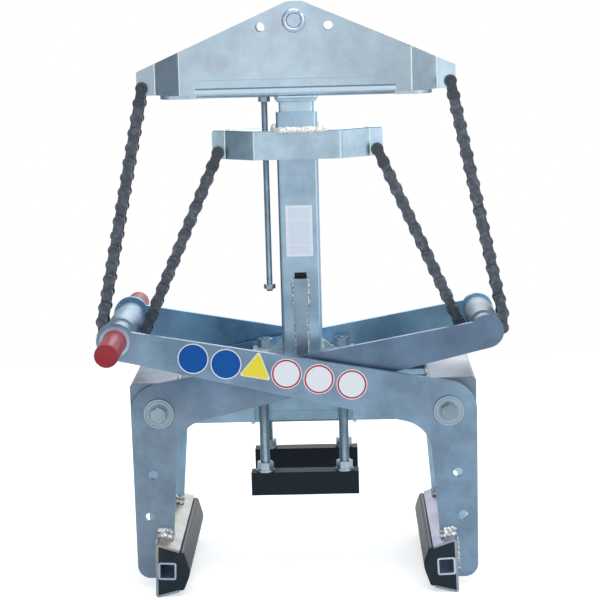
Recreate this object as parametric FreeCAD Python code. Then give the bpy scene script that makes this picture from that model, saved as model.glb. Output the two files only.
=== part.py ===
import FreeCAD, Part
import math
import os

# Stone lifting clamp: two crossed crank levers are drawn up by two chains when the head is lifted,
# and press the jaws at their lower ends against a kerb stone or block.
# X is to the right, Y away from the front and Z up. The jaws stand on Z = 0 and the column's
# middle is X = Y = 0. Lengths are in millimetres and angles in degrees.
# One lever is the right-jaw lever: its pivot and jaw are on the right and its lift shaft on the left.
# The left-jaw lever is its mirror image between the plates of the first.

# Pivots and lift shafts
pivot_x = 241.0                  # pivots, left and right of the middle
pivot_height = 305.0             # pivots above the feet of the jaws
lift_shaft_x = 306.5             # lift shafts, left and right of the middle
lift_shaft_rise = 128.0          # lift shafts above the pivots
shaft_radius = 15.0              # pivot shafts and lift shafts

# Clearances
running_clearance = 0.08         # radial, a plate or a roller that turns on a shaft
fixed_clearance = 0.05           # radial, a pin or a shaft that is held in its hole
side_clearance = 0.3             # between the faces of pieces that move on each other
overrun = 2.0                    # by which a cutting shape stands out of what it cuts

# Lever plates
lever_thickness = 8.0
lever_gap = 10.1                 # between the plates of the outer and of the inner lever
outer_lever_end_radius = 31.0    # round end at the lift shaft of the right-jaw lever
inner_lever_end_radius = 28.0    # round end at the lift shaft of the left-jaw lever
lever_top_slope_deg = 10.1
lever_bottom_slope_deg = 13.36
lever_corner_radius = 50.0
lever_outer_edge = 47.0          # outer edge of a leg beyond its pivot
lever_inner_radius = 55.0
leg_taper_deg = 4.8
leg_foot_height = 16.0
leg_foot_radius = 22.0
leg_on_flange = 26.0             # length of the jaw's top flange that a leg covers
leg_hole_radius = 8.0
leg_hole_drops = (107.0, 181.0)  # holes of a leg below the pivot
leg_hole_offsets = (14.5, 22.5)  # holes of a leg outside the pivot

# Jaws
jaw_length = 300.0
jaw_height = 96.0                # along the back wall
jaw_wall = 4.0
jaw_foot_x = 253.7               # outer lower corner of a jaw
jaw_bend_radius = 5.0            # outside a bend of the sheet
jaw_lean_deg = 2.28
jaw_flange = 41.0
jaw_fold_deg = 16.3              # by which the flanges are folded in past the square
rail_side = 30.0
rail_wall = 3.0
rail_corner_radius = 4.0
rubber_shoulder = 46.2           # depth of the rubber's shoulders from the back wall's outer face
rubber_nose = 58.2
rubber_shoulder_rise = 35.0      # shoulders above and below the middle of the jaw
rubber_shoulder_radius = 6.0
rubber_nose_radius = 30.0
right_nose_rise = 5.0            # nose above the middle of the jaw
left_nose_rise = -3.0

# Lift shafts
drum_radius = 26.0
drum_half_width = 50.0
sleeve_radius = 23.0
shaft_washer_radius = 25.0
shaft_washer_thickness = 4.0
grip_radius = 20.0
grip_length = 104.0
grip_end = 6.0                   # rubber beyond the end of the shaft
grip_rounding = 3.0

# End boxes and pivots
end_box_side = 80.0
end_box_half_length = 92.0
end_box_wall = 5.0
end_cap_thickness = 5.0
end_box_inner_x = 209.0
end_box_below_pivot = 31.0
tube_corner_radius = 6.0
pivot_washer_radius = 25.0
pivot_washer_thickness = 4.0
pivot_spacer_radius = 22.0
screw_radius = 8.0
screw_head_flats = 24.0
screw_head_height = 10.0
screw_grip_length = 30.0         # shank in the end of a pivot shaft
screw_hole_spare = 4.0
screw_washer_play = 0.5          # radial, between a screw and its washer

# Beams between the end boxes and the centre box
beam_width = 40.0
beam_height = 77.0
beam_wall = 4.0
beam_middle_y = 44.0

# Centre box under the column
centre_half_width = 89.0
centre_half_depth = 88.0         # top plate
centre_side_half_depth = 64.0
centre_height = 94.0
centre_side_thickness = 6.0
cross_plate_thickness = 5.0
cross_plate_face_y = 54.0
top_plate_thickness = 8.0

# Pressure pads and their threaded rods
pad_rod_radius = 8.0
pad_rod_x = 67.0
pad_rod_y = 72.0
pad_rod_stand = 18.0             # rod above the top plate
pad_rod_hole_play = 0.5
pad_length = 182.0
pad_depth = 26.0
pad_height = 40.0
pad_face_y = 85.0
pad_bottom = 154.0
pad_rod_in_pad = 30.0
nut_flats = 24.0
nut_height = 13.0
rod_washer_radius = 15.0
rod_washer_thickness = 3.0

# Column and inner tube
column_side = 68.0
column_length = 420.0
tube_clearance = 0.2             # between the column and the tube that slides in it
inner_tube_side = 58.0
inner_tube_wall = 4.0
gusset_height = 30.0
gusset_width = 37.0
gusset_thickness = 6.0
slot_half_width = 11.0
slot_height = 29.4
slot_above_foot = 123.0

# Latch under its cover on the front of the column
cover_half_width = 12.0
cover_lower_half_width = 9.5
cover_depth = 10.0
cover_top_above_foot = 142.0
cover_upper_length = 52.0
cover_foot_gap = 4.0
cover_wall = 2.5
cover_side_wall = 4.0
cavity_height = 50.0
pawl_half_width = 6.5
pawl_thickness = 3.0
pawl_height = 42.0
pawl_below_cover_top = 7.0
pawl_nose_height = 8.0
pawl_nose_drop = 1.0             # nose below the top of the pawl
pawl_nose_back = 0.6             # nose short of the column's inner face at rest
pawl_front_gap = 1.5             # between the pawl and the front wall of the cover
latch_pin_radius = 2.0
latch_pin_above_pawl_foot = 8.0
tube_slot_half_width = 10.0
tube_slot_height = 150.0

# Lower traverse on the column
traverse_thickness = 6.0
lower_below_column_top = 30.0
lower_height = 48.0
lower_inner_bend = 72.0
lower_outer_bend = 121.0
lower_tip = 142.6
lower_web_thickness = 5.0
lower_web_half_length = 113.0
lower_tip_radius = 5.0
lower_pin_x = 133.3
lower_pin_rise = 11.0
tip_gap = 4.0                    # between the two plates at a tip
rod_guide_thickness = 6.0
rod_guide_half_length = 16.0

# Upper traverse on the inner tube
head_gap = 19.0                  # between the column's top and the collar of the head
collar_thickness = 6.0
collar_side = 68.0
base_thickness = 6.0
base_half_length = 226.0
base_half_depth = 38.0
base_corner_radius = 30.0
base_fold_half_length = 163.0    # middle part, where the faces are folded into the base
base_fold_radius = 14.0          # outside the fold
upper_inner_bend = 191.0
upper_outer_bend = 234.0
upper_tip = 265.0
upper_apex_height = 148.5
upper_apex_half_width = 12.6
upper_tip_height = 39.0
upper_tip_radius = 5.0
upper_pin_x = 256.5
upper_pin_rise = 12.0
suspension_radius = 11.0
suspension_height = 118.0
suspension_stand = 4.0
traverse_hole_radius = 8.0
traverse_hole_x = 56.0
traverse_hole_height = 108.0

# Limit rod
limit_rod_radius = 5.0
limit_rod_x = 53.0
limit_rod_y = 17.0
limit_rod_stand = 4.0            # rod beyond its nuts
limit_rod_hole_radius = 6.0
limit_nut_flats = 17.0
limit_nut_height = 8.0
head_stroke = 212.0              # from the lower nut up to the rod guide

# Chains
chain_pitch = 25.4
chain_plate_radius = 10.5
chain_waist = 16.0
chain_roller_radius = 7.94
chain_inner_gap = 17.0
chain_inner_plate = 4.0
chain_outer_plate = 3.2
chain_plate_gap = 0.2
chain_pin_radius = 4.14
chain_pin_end = 2.0
chain_washer_radius = 8.0        # washers between the lower tips and the chains
chain_play = 0.1

# Places that follow from the sizes above
X_AXIS = FreeCAD.Vector(1, 0, 0)
Y_AXIS = FreeCAD.Vector(0, 1, 0)
Z_AXIS = FreeCAD.Vector(0, 0, 1)
ORIGIN = FreeCAD.Vector(0, 0, 0)
right_pivot = (pivot_x, pivot_height)
right_shaft = (lift_shaft_x, pivot_height + lift_shaft_rise)
inner_plate_y = end_box_half_length + side_clearance
outer_plate_y = inner_plate_y + lever_thickness + lever_gap
frame_bottom = pivot_height - end_box_below_pivot
centre_plate_bottom = frame_bottom + centre_height
column_foot = centre_plate_bottom + top_plate_thickness
column_top = column_foot + column_length
column_inner_side = inner_tube_side + 2 * tube_clearance
column_wall = (column_side - column_inner_side) / 2
lower_top = column_top - lower_below_column_top
lower_bottom = lower_top - lower_height
collar_bottom = column_top + head_gap
base_bottom = collar_bottom + collar_thickness
upper_bottom = base_bottom + base_thickness
face_inner_y = column_side / 2
tip_inner_y = tip_gap / 2
lower_pin = (lower_pin_x, lower_bottom + lower_pin_rise)
upper_pin = (upper_pin_x, upper_bottom + upper_pin_rise)
chain_pitch_radius = drum_radius + side_clearance + chain_plate_radius
outer_link_y = chain_inner_gap / 2 + chain_inner_plate + chain_plate_gap
chain_half_width = outer_link_y + chain_outer_plate + chain_pin_end


def box(x, y, z):
    """A block between the two places given along each axis."""
    corner = FreeCAD.Vector(min(x), min(y), min(z))
    return Part.makeBox(max(x) - min(x), max(y) - min(y), max(z) - min(z), corner)


def rod_x(y, z, radius, start, end):
    return Part.makeCylinder(radius, end - start, FreeCAD.Vector(start, y, z), X_AXIS)


def rod_y(centre, radius, start, end):
    """A round bar along Y about the place centre, given as X and Z."""
    return Part.makeCylinder(radius, end - start, FreeCAD.Vector(centre[0], start, centre[1]), Y_AXIS)


def rod_z(x, y, radius, start, end):
    return Part.makeCylinder(radius, end - start, FreeCAD.Vector(x, y, start), Z_AXIS)


def ring_y(centre, radius, hole_radius, start, end):
    hole = rod_y(centre, hole_radius, start - overrun, end + overrun)
    return rod_y(centre, radius, start, end).cut(hole)


def ring_z(x, y, radius, hole_radius, start, end):
    hole = rod_z(x, y, hole_radius, start - overrun, end + overrun)
    return rod_z(x, y, radius, start, end).cut(hole)


def outline(corners, radii):
    """A closed wire through the corners, each rounded by its radius where that isn't zero."""
    edges = []
    first = None
    last = None
    for index, corner in enumerate(corners):
        back = (corners[index - 1] - corner).normalize()
        ahead = (corners[(index + 1) % len(corners)] - corner).normalize()
        half_angle = back.getAngle(ahead) / 2
        start = corner
        end = corner
        if radii[index] > 0:
            run = radii[index] / math.tan(half_angle)
            start = corner + back * run
            end = corner + ahead * run
        if last is not None:
            edges.append(Part.LineSegment(last, start).toShape())
        if radii[index] > 0:
            toward_centre = (back + ahead).normalize()
            middle_run = radii[index] / math.sin(half_angle) - radii[index]
            middle = corner + toward_centre * middle_run
            edges.append(Part.Arc(start, middle, end).toShape())
        if first is None:
            first = start
        last = end
    edges.append(Part.LineSegment(last, first).toShape())
    return Part.Wire(edges)


def plate_y(points, radii, start, end):
    """A plate across Y from its outline in X and Z."""
    corners = [FreeCAD.Vector(x, start, z) for x, z in points]
    return Part.Face(outline(corners, radii)).extrude(Y_AXIS * (end - start))


def plate_z(points, radii, start, end):
    """A plate across Z from its outline in X and Y."""
    corners = [FreeCAD.Vector(x, y, start) for x, y in points]
    return Part.Face(outline(corners, radii)).extrude(Z_AXIS * (end - start))


def sharp(points):
    return [0] * len(points)


def hexagon(across_flats, axis, centre, height):
    """A hexagonal head or nut that starts at the centre and stands along the axis."""
    corner_radius = across_flats / math.sqrt(3)
    side = Z_AXIS if abs(axis.z) < abs(axis.y) else X_AXIS
    other = axis.cross(side)
    corners = []
    for corner in range(6):
        turn = corner * math.pi / 3
        corners.append(centre + (side * math.cos(turn) + other * math.sin(turn)) * corner_radius)
    return Part.Face(Part.makePolygon(corners + corners[:1])).extrude(axis * height)


def square_profile(side, radius, across):
    """Corners and radii of a square outline about a centre."""
    half = side / 2
    points = [(across[0] - half, across[1] - half), (across[0] + half, across[1] - half),
              (across[0] + half, across[1] + half), (across[0] - half, across[1] + half)]
    return points, [radius] * 4


def mirror_x(shape):
    return shape.mirror(ORIGIN, X_AXIS)


def mirror_y(shape):
    return shape.mirror(ORIGIN, Y_AXIS)


def both_y(shape):
    return [shape, mirror_y(shape)]


def along(point, direction_deg, distance):
    """The place at a distance from a point of the XZ plane, in a direction counted from +X."""
    turn = math.radians(direction_deg)
    return (point[0] + distance * math.cos(turn), point[1] + distance * math.sin(turn))


def crossing(point_a, deg_a, point_b, deg_b):
    """Where two lines of the XZ plane cross."""
    ax, az = math.cos(math.radians(deg_a)), math.sin(math.radians(deg_a))
    bx, bz = math.cos(math.radians(deg_b)), math.sin(math.radians(deg_b))
    gap_x, gap_z = point_b[0] - point_a[0], point_b[1] - point_a[1]
    distance = (gap_x * bz - gap_z * bx) / (ax * bz - az * bx)
    return (point_a[0] + ax * distance, point_a[1] + az * distance)


# Directions of the right jaw, counted from +X in the XZ plane
wall_up_deg = 90 + jaw_lean_deg
inward_deg = 180 + jaw_lean_deg
top_flange_deg = inward_deg + jaw_fold_deg
bottom_flange_deg = inward_deg - jaw_fold_deg
jaw_corner = math.radians(bottom_flange_deg - wall_up_deg)
jaw_corner_rise = math.sin(math.radians(wall_up_deg)) + math.sin(math.radians(bottom_flange_deg))
jaw_foot_drop = jaw_bend_radius * (jaw_corner_rise / math.sin(jaw_corner) - 1)
jaw_foot = (jaw_foot_x, -jaw_foot_drop)
jaw_inner_bend = jaw_bend_radius - jaw_wall
jaw_top = along(jaw_foot, wall_up_deg, jaw_height)


def jaw_place(depth, rise):
    """A place in the right jaw: depth from the back wall's outer face, rise along the wall."""
    return along(along(jaw_foot, wall_up_deg, rise), inward_deg, depth)


def jaw_inner_line():
    """The inner face of the jaw's sheet, from the tip of its bottom flange to the tip of its top."""
    top_tip = along(jaw_top, top_flange_deg, jaw_flange)
    bottom_tip = along(jaw_foot, bottom_flange_deg, jaw_flange)
    top_inner_tip = along(top_tip, top_flange_deg + 90, jaw_wall)
    bottom_inner_tip = along(bottom_tip, bottom_flange_deg - 90, jaw_wall)
    wall_inner = jaw_place(jaw_wall, 0)
    top_inner = crossing(top_inner_tip, top_flange_deg, wall_inner, wall_up_deg)
    bottom_inner = crossing(bottom_inner_tip, bottom_flange_deg, wall_inner, wall_up_deg)
    return bottom_tip, bottom_inner_tip, bottom_inner, top_inner, top_inner_tip, top_tip


def jaw_channel():
    bottom_tip, bottom_inner_tip, bottom_inner, top_inner, top_inner_tip, top_tip = jaw_inner_line()
    points = [jaw_foot, jaw_top, top_tip, top_inner_tip, top_inner, bottom_inner,
              bottom_inner_tip, bottom_tip]
    radii = [jaw_bend_radius] * 2 + [0, 0] + [jaw_inner_bend] * 2 + [0, 0]
    return plate_y(points, radii, -jaw_length / 2, jaw_length / 2)


def rail_corners(inset):
    low = (jaw_height - rail_side) / 2 + inset
    high = low + rail_side - 2 * inset
    near = jaw_wall + inset
    far = jaw_wall + rail_side - inset
    return [jaw_place(near, low), jaw_place(far, low), jaw_place(far, high), jaw_place(near, high)]


def jaw_rail():
    half = jaw_length / 2
    bar = plate_y(rail_corners(0), [rail_corner_radius] * 4, -half, half)
    bore = plate_y(rail_corners(rail_wall), [rail_corner_radius - rail_wall] * 4, -half - overrun,
                   half + overrun)
    return bar.cut(bore)


def jaw_rubber(nose_rise):
    bottom_inner_tip, bottom_inner, top_inner, top_inner_tip = jaw_inner_line()[1:5]
    middle = jaw_height / 2
    points = [bottom_inner, top_inner, top_inner_tip,
              jaw_place(rubber_shoulder, middle + rubber_shoulder_rise),
              jaw_place(rubber_nose, middle + nose_rise),
              jaw_place(rubber_shoulder, middle - rubber_shoulder_rise),
              bottom_inner_tip]
    radii = [jaw_inner_bend] * 2 + [0, rubber_shoulder_radius, rubber_nose_radius,
                                    rubber_shoulder_radius, 0]
    half = jaw_length / 2
    block = plate_y(points, radii, -half, half)
    recess = plate_y(rail_corners(0), [rail_corner_radius] * 4, -half - overrun, half + overrun)
    return block.cut(recess)


def lever_plate(end_radius, near, shaft_hole):
    """One plate of the lever with its pivot and jaw on the right, from the face at Y = near."""
    shaft = (-right_shaft[0], right_shaft[1])
    far = near + lever_thickness
    outer_x = pivot_x + lever_outer_edge
    corner_centre = (outer_x - lever_corner_radius, pivot_height)
    top_point = along(corner_centre, 90 - lever_top_slope_deg, lever_corner_radius)
    bottom_point = along(shaft, -90 - lever_bottom_slope_deg, end_radius)
    outer_top = crossing(top_point, -lever_top_slope_deg, (outer_x, 0), 90)
    top_start = crossing(top_point, -lever_top_slope_deg, shaft, 90)
    foot_inner = crossing((0, leg_foot_height), 0, jaw_foot, wall_up_deg)
    flange_point = along(jaw_top, top_flange_deg, leg_on_flange)
    inner_corner = crossing(flange_point, 90 + leg_taper_deg, bottom_point, -lever_bottom_slope_deg)
    points = [outer_top, (outer_x, leg_foot_height), foot_inner, jaw_top, flange_point,
              inner_corner, bottom_point, top_start]
    radii = [lever_corner_radius, leg_foot_radius, 0, 0, 0, lever_inner_radius, 0, 0]
    plate = plate_y(points, radii, near, far)
    plate = plate.fuse(rod_y(shaft, end_radius, near, far))
    holes = [rod_y(right_pivot, shaft_radius + running_clearance, near - overrun, far + overrun)]
    for drop, offset in zip(leg_hole_drops, leg_hole_offsets):
        place = (pivot_x + offset, pivot_height - drop)
        holes.append(rod_y(place, leg_hole_radius, near - overrun, far + overrun))
    if shaft_hole:
        holes.append(rod_y(shaft, shaft_radius + fixed_clearance, near - overrun, far + overrun))
    return plate.cut(holes).removeSplitter()


def lift_shaft(reach):
    """A lift shaft on the right, as long as its reach on either side."""
    return rod_y(right_shaft, shaft_radius, -reach, reach)


def shaft_sleeves(plate_face):
    """The sleeves between the drum and the lever plates."""
    start = drum_half_width + side_clearance
    sleeve = ring_y(right_shaft, sleeve_radius, shaft_radius + fixed_clearance, start, plate_face)
    return both_y(sleeve)


def chain_drum():
    return ring_y(right_shaft, drum_radius, shaft_radius + running_clearance,
                  -drum_half_width, drum_half_width)


grip_start = outer_plate_y + lever_thickness + shaft_washer_thickness
grip_bore_end = grip_start + grip_length - grip_end


def shaft_grips():
    """The rubber grips on the ends of the left lift shaft."""
    centre = (-right_shaft[0], right_shaft[1])
    grip = rod_y(centre, grip_radius, grip_start, grip_start + grip_length)
    rims = [edge for edge in grip.Edges if edge.Closed and len(edge.Vertexes) == 1]
    grip = grip.makeFillet(grip_rounding, rims)
    bore = rod_y(centre, shaft_radius + fixed_clearance, grip_start - overrun, grip_bore_end)
    return both_y(grip.cut(bore))


def shaft_washers():
    centre = (-right_shaft[0], right_shaft[1])
    start = outer_plate_y + lever_thickness
    washer = ring_y(centre, shaft_washer_radius, shaft_radius + fixed_clearance,
                    start, start + shaft_washer_thickness)
    return both_y(washer)


end_box_middle = (end_box_inner_x + end_box_side / 2, frame_bottom + end_box_side / 2)


def end_box():
    """The square tube of the right end box."""
    half = end_box_half_length - end_cap_thickness
    outer, outer_radii = square_profile(end_box_side, tube_corner_radius, end_box_middle)
    inner_side = end_box_side - 2 * end_box_wall
    inner, inner_radii = square_profile(inner_side, tube_corner_radius / 2, end_box_middle)
    bore = plate_y(inner, inner_radii, -half - overrun, half + overrun)
    return plate_y(outer, outer_radii, -half, half).cut(bore)


def end_caps():
    """The two caps of the right end box, bored for the pivot shaft."""
    start = end_box_half_length - end_cap_thickness
    outer, radii = square_profile(end_box_side, tube_corner_radius, end_box_middle)
    cap = plate_y(outer, radii, start, end_box_half_length)
    bore = rod_y(right_pivot, shaft_radius + fixed_clearance, start - overrun,
                 end_box_half_length + overrun)
    return both_y(cap.cut(bore))


def pivot_parts(plate_face):
    """Pivot shaft, washers and screws on the right, for lever plates that start at plate_face."""
    shaft_end = plate_face + lever_thickness + side_clearance
    shaft = rod_y(right_pivot, shaft_radius, -shaft_end, shaft_end)
    hole_depth = screw_grip_length + screw_hole_spare
    hole = rod_y(right_pivot, screw_radius + fixed_clearance, shaft_end - hole_depth,
                 shaft_end + overrun)
    shaft = shaft.cut(both_y(hole))
    washer_end = shaft_end + pivot_washer_thickness
    washer = ring_y(right_pivot, pivot_washer_radius, screw_radius + screw_washer_play,
                    shaft_end, washer_end)
    head_place = FreeCAD.Vector(right_pivot[0], washer_end, right_pivot[1])
    screw = hexagon(screw_head_flats, Y_AXIS, head_place, screw_head_height)
    shank = rod_y(right_pivot, screw_radius, shaft_end - screw_grip_length, washer_end)
    return shaft, both_y(washer), both_y(screw.fuse(shank))


def pivot_spacers():
    """Spacers between the right end box and the plates of the outer lever."""
    spacer = ring_y(right_pivot, pivot_spacer_radius, shaft_radius + fixed_clearance,
                    end_box_half_length, outer_plate_y - side_clearance)
    return both_y(spacer)


def beams():
    """The two beams on the right, front and rear, that carry the end box."""
    top = frame_bottom + end_box_side
    span_x = (centre_half_width, end_box_inner_x)
    y = (beam_middle_y - beam_width / 2, beam_middle_y + beam_width / 2)
    z = (top - beam_height, top)
    bar = box(span_x, y, z)
    bore = box((span_x[0] - overrun, span_x[1] + overrun), (y[0] + beam_wall, y[1] - beam_wall),
               (z[0] + beam_wall, z[1] - beam_wall))
    return both_y(bar.cut(bore))


def centre_side_plates():
    inner = centre_half_width - centre_side_thickness
    plate = box((inner, centre_half_width), (-centre_side_half_depth, centre_side_half_depth),
                (frame_bottom, centre_plate_bottom))
    return [plate, mirror_x(plate)]


def centre_cross_plates():
    inner = centre_half_width - centre_side_thickness
    plate = box((-inner, inner), (cross_plate_face_y - cross_plate_thickness, cross_plate_face_y),
                (frame_bottom, centre_plate_bottom))
    return both_y(plate)


def rod_places():
    return [(x, y) for x in (-pad_rod_x, pad_rod_x) for y in (-pad_rod_y, pad_rod_y)]


def centre_top_plate():
    plate = box((-centre_half_width, centre_half_width), (-centre_half_depth, centre_half_depth),
                (centre_plate_bottom, column_foot))
    holes = []
    for x, y in rod_places():
        holes.append(rod_z(x, y, pad_rod_radius + pad_rod_hole_play,
                           centre_plate_bottom - overrun, column_foot + overrun))
    return plate.cut(holes)


def pad_rods():
    foot = pad_bottom + pad_height - pad_rod_in_pad
    return [rod_z(x, y, pad_rod_radius, foot, column_foot + pad_rod_stand) for x, y in rod_places()]


def rod_fixings():
    """Washers and nuts on the top plate and on the pads."""
    solids = []
    hole = pad_rod_radius + fixed_clearance
    for seat in (column_foot, pad_bottom + pad_height):
        nut_foot = seat + rod_washer_thickness
        for x, y in rod_places():
            solids.append(ring_z(x, y, rod_washer_radius, hole, seat, nut_foot))
            nut = hexagon(nut_flats, Z_AXIS, FreeCAD.Vector(x, y, nut_foot), nut_height)
            solids.append(nut.cut(rod_z(x, y, hole, nut_foot - overrun,
                                        nut_foot + nut_height + overrun)))
    return solids


def front_pad():
    """The rubber pad under the front of the centre box."""
    half = pad_length / 2
    top = pad_bottom + pad_height
    pad = box((-half, half), (-pad_face_y, pad_depth - pad_face_y), (pad_bottom, top))
    holes = [rod_z(x, -pad_rod_y, pad_rod_radius + fixed_clearance, top - pad_rod_in_pad, top + overrun)
             for x in (-pad_rod_x, pad_rod_x)]
    return pad.cut(holes)


def column_tube():
    outer, outer_radii = square_profile(column_side, tube_corner_radius, (0, 0))
    inner, inner_radii = square_profile(column_inner_side, tube_corner_radius / 4, (0, 0))
    tube = plate_z(outer, outer_radii, column_foot, column_top)
    bore = plate_z(inner, inner_radii, column_foot - overrun, column_top + overrun)
    slot_low = column_foot + slot_above_foot
    slot = box((-slot_half_width, slot_half_width), (-column_side / 2 - overrun, 0),
               (slot_low, slot_low + slot_height))
    return tube.cut([bore, slot])


def column_gussets():
    """The two small corner plates that brace the foot of the column."""
    side = column_side / 2
    points = [(side, column_foot), (side + gusset_width, column_foot),
              (side, column_foot + gusset_height)]
    gusset = plate_y(points, sharp(points), -gusset_thickness / 2, gusset_thickness / 2)
    return [gusset, mirror_x(gusset)]


cover_top = column_foot + cover_top_above_foot
cover_face_y = -column_side / 2 - cover_depth
pawl_top = cover_top - pawl_below_cover_top
pawl_foot = pawl_top - pawl_height
pawl_front_y = cover_face_y + cover_wall + pawl_front_gap
latch_pin_y = pawl_front_y + pawl_thickness / 2
latch_pin_z = pawl_foot + latch_pin_above_pawl_foot


def latch_cover():
    """The welded cover of the latch: wide and hollow at the top, a narrow bar below."""
    front = (cover_face_y, -column_side / 2)
    bend = cover_top - cover_upper_length
    upper = box((-cover_half_width, cover_half_width), front, (bend, cover_top))
    lower = box((-cover_lower_half_width, cover_lower_half_width), front,
                (column_foot + cover_foot_gap, bend))
    half = cover_half_width - cover_side_wall
    cavity = box((-half, half), (cover_face_y + cover_wall, 0),
                 (cover_top - cavity_height, cover_top + overrun))
    pin_hole = rod_x(latch_pin_y, latch_pin_z, latch_pin_radius + fixed_clearance,
                     -cover_half_width - overrun, cover_half_width + overrun)
    return upper.fuse(lower).cut([cavity, pin_hole]).removeSplitter()


def latch_pin():
    return rod_x(latch_pin_y, latch_pin_z, latch_pin_radius, -cover_half_width, cover_half_width)


def latch_pawl():
    """The pawl on its pin in the cover, with a nose that reaches through the column's slot."""
    width = (-pawl_half_width, pawl_half_width)
    arm = box(width, (pawl_front_y, pawl_front_y + pawl_thickness), (pawl_foot, pawl_top))
    nose_top = pawl_top - pawl_nose_drop
    nose_end = -column_inner_side / 2 - pawl_nose_back
    nose = box(width, (pawl_front_y, nose_end), (nose_top - pawl_nose_height, nose_top))
    hole = rod_x(latch_pin_y, latch_pin_z, latch_pin_radius + running_clearance,
                 -pawl_half_width - overrun, pawl_half_width + overrun)
    return arm.fuse(nose).cut(hole).removeSplitter()


def traverse_plan(inner_bend, outer_bend, tip):
    """Half plan of a traverse face: straight, bent in, and straight again at its tip."""
    drop = face_inner_y - tip_inner_y
    bend_angle = math.atan2(drop, outer_bend - inner_bend)
    shift = traverse_thickness * math.tan(bend_angle / 2)
    outside = [(inner_bend, face_inner_y + traverse_thickness),
               (outer_bend, tip_inner_y + traverse_thickness),
               (tip, tip_inner_y + traverse_thickness)]
    inside = [(tip, tip_inner_y), (outer_bend - shift, tip_inner_y),
              (inner_bend - shift, face_inner_y)]
    return outside, inside


def traverse_face(inner_bend, outer_bend, tip, bottom, top, elevation, radii, holes):
    """The rear face of a traverse: its bent plan cut to the elevation's outline and drilled."""
    outside, inside = traverse_plan(inner_bend, outer_bend, tip)
    plan = outside + inside
    plan += [(-x, y) for x, y in reversed(inside)] + [(-x, y) for x, y in reversed(outside)]
    strip = plate_z(plan, sharp(plan), bottom, top)
    depth = face_inner_y + traverse_thickness + overrun
    plate = strip.common(plate_y(elevation, radii, 0, depth))
    drills = [rod_y(place, radius, -overrun, depth) for place, radius in holes]
    return plate.cut(drills)


def lower_face():
    pin_hole = chain_pin_radius + fixed_clearance
    holes = [(lower_pin, pin_hole), ((-lower_pin[0], lower_pin[1]), pin_hole)]
    elevation = [(-lower_tip, lower_bottom), (lower_tip, lower_bottom), (lower_tip, lower_top),
                 (-lower_tip, lower_top)]
    return traverse_face(lower_inner_bend, lower_outer_bend, lower_tip, lower_bottom, lower_top,
                         elevation, [lower_tip_radius] * 4, holes)


def lower_web():
    """The web between the lower traverse's faces, open for the column and the limit rod."""
    inside = traverse_plan(lower_inner_bend, lower_outer_bend, lower_tip)[1]
    half = [inside[1], inside[2]]
    plan = half + [(-x, y) for x, y in reversed(half)]
    plan += [(-x, -y) for x, y in half] + [(x, -y) for x, y in reversed(half)]
    web = plate_z(plan, sharp(plan), lower_top - lower_web_thickness, lower_top)
    ends = box((-lower_web_half_length, lower_web_half_length), (-column_side, column_side),
               (lower_bottom, lower_top))
    return web.common(ends).cut([column_hole(lower_bottom, lower_top + overrun), limit_hole()])


def column_hole(start, end):
    outer, radii = square_profile(column_side, tube_corner_radius, (0, 0))
    return plate_z(outer, radii, start - overrun, end)


def limit_hole():
    return rod_z(-limit_rod_x, -limit_rod_y, limit_rod_hole_radius, lower_bottom - overrun,
                 upper_bottom + overrun)


def rod_guide():
    """The strip between the lower traverse's faces that stops the limit rod's lower nut."""
    outer_x = -limit_rod_x - rod_guide_half_length
    plate = box((outer_x, -column_side / 2), (-face_inner_y, face_inner_y),
                (lower_bottom, lower_bottom + rod_guide_thickness))
    return plate.cut(limit_hole())


def chain_pins(place):
    pin = rod_y(place, chain_pin_radius, -chain_half_width, chain_half_width)
    return [pin, mirror_x(pin)]


def upper_face():
    top = upper_bottom + upper_apex_height
    tip_top = upper_bottom + upper_tip_height
    elevation = [(-upper_tip, upper_bottom), (upper_tip, upper_bottom), (upper_tip, tip_top),
                 (upper_apex_half_width, top), (-upper_apex_half_width, top),
                 (-upper_tip, tip_top)]
    tip_radii = [upper_tip_radius] * 3 + [0, 0, upper_tip_radius]
    pin_hole = chain_pin_radius + fixed_clearance
    suspension = (0, upper_bottom + suspension_height)
    hole_z = upper_bottom + traverse_hole_height
    holes = [(upper_pin, pin_hole), ((-upper_pin[0], upper_pin[1]), pin_hole),
             (suspension, suspension_radius + fixed_clearance),
             ((traverse_hole_x, hole_z), traverse_hole_radius),
             ((-traverse_hole_x, hole_z), traverse_hole_radius)]
    face = traverse_face(upper_inner_bend, upper_outer_bend, upper_tip, upper_bottom, top,
                         elevation, tip_radii, holes)
    return face.cut(fold_space()).fuse(base_fold()).removeSplitter()


fold_middle_y = face_inner_y + traverse_thickness - base_fold_radius
fold_top = base_bottom + base_fold_radius


def fold_space():
    """The space of the fold between the rear face and the base."""
    return box((-base_fold_half_length, base_fold_half_length),
               (fold_middle_y, face_inner_y + traverse_thickness), (base_bottom, fold_top))


def base_fold():
    half = base_fold_half_length
    outer = rod_x(fold_middle_y, fold_top, base_fold_radius, -half, half)
    inner = rod_x(fold_middle_y, fold_top, base_fold_radius - base_thickness,
                  -half - overrun, half + overrun)
    return outer.cut(inner).common(fold_space())


def upper_base():
    points = [(-base_half_length, -base_half_depth), (base_half_length, -base_half_depth),
              (base_half_length, base_half_depth), (-base_half_length, base_half_depth)]
    plate = plate_z(points, [base_corner_radius] * 4, base_bottom, upper_bottom)
    hole = rod_z(-limit_rod_x, -limit_rod_y, limit_rod_radius + fixed_clearance,
                 base_bottom - overrun, upper_bottom + overrun)
    return plate.cut([hole] + both_y(fold_space()))


def tube_collar():
    outer, radii = square_profile(collar_side, tube_corner_radius, (0, 0))
    tube, tube_radii = square_profile(inner_tube_side, tube_corner_radius, (0, 0))
    collar = plate_z(outer, radii, collar_bottom, base_bottom)
    return collar.cut(plate_z(tube, tube_radii, collar_bottom - overrun, base_bottom + overrun))


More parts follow.
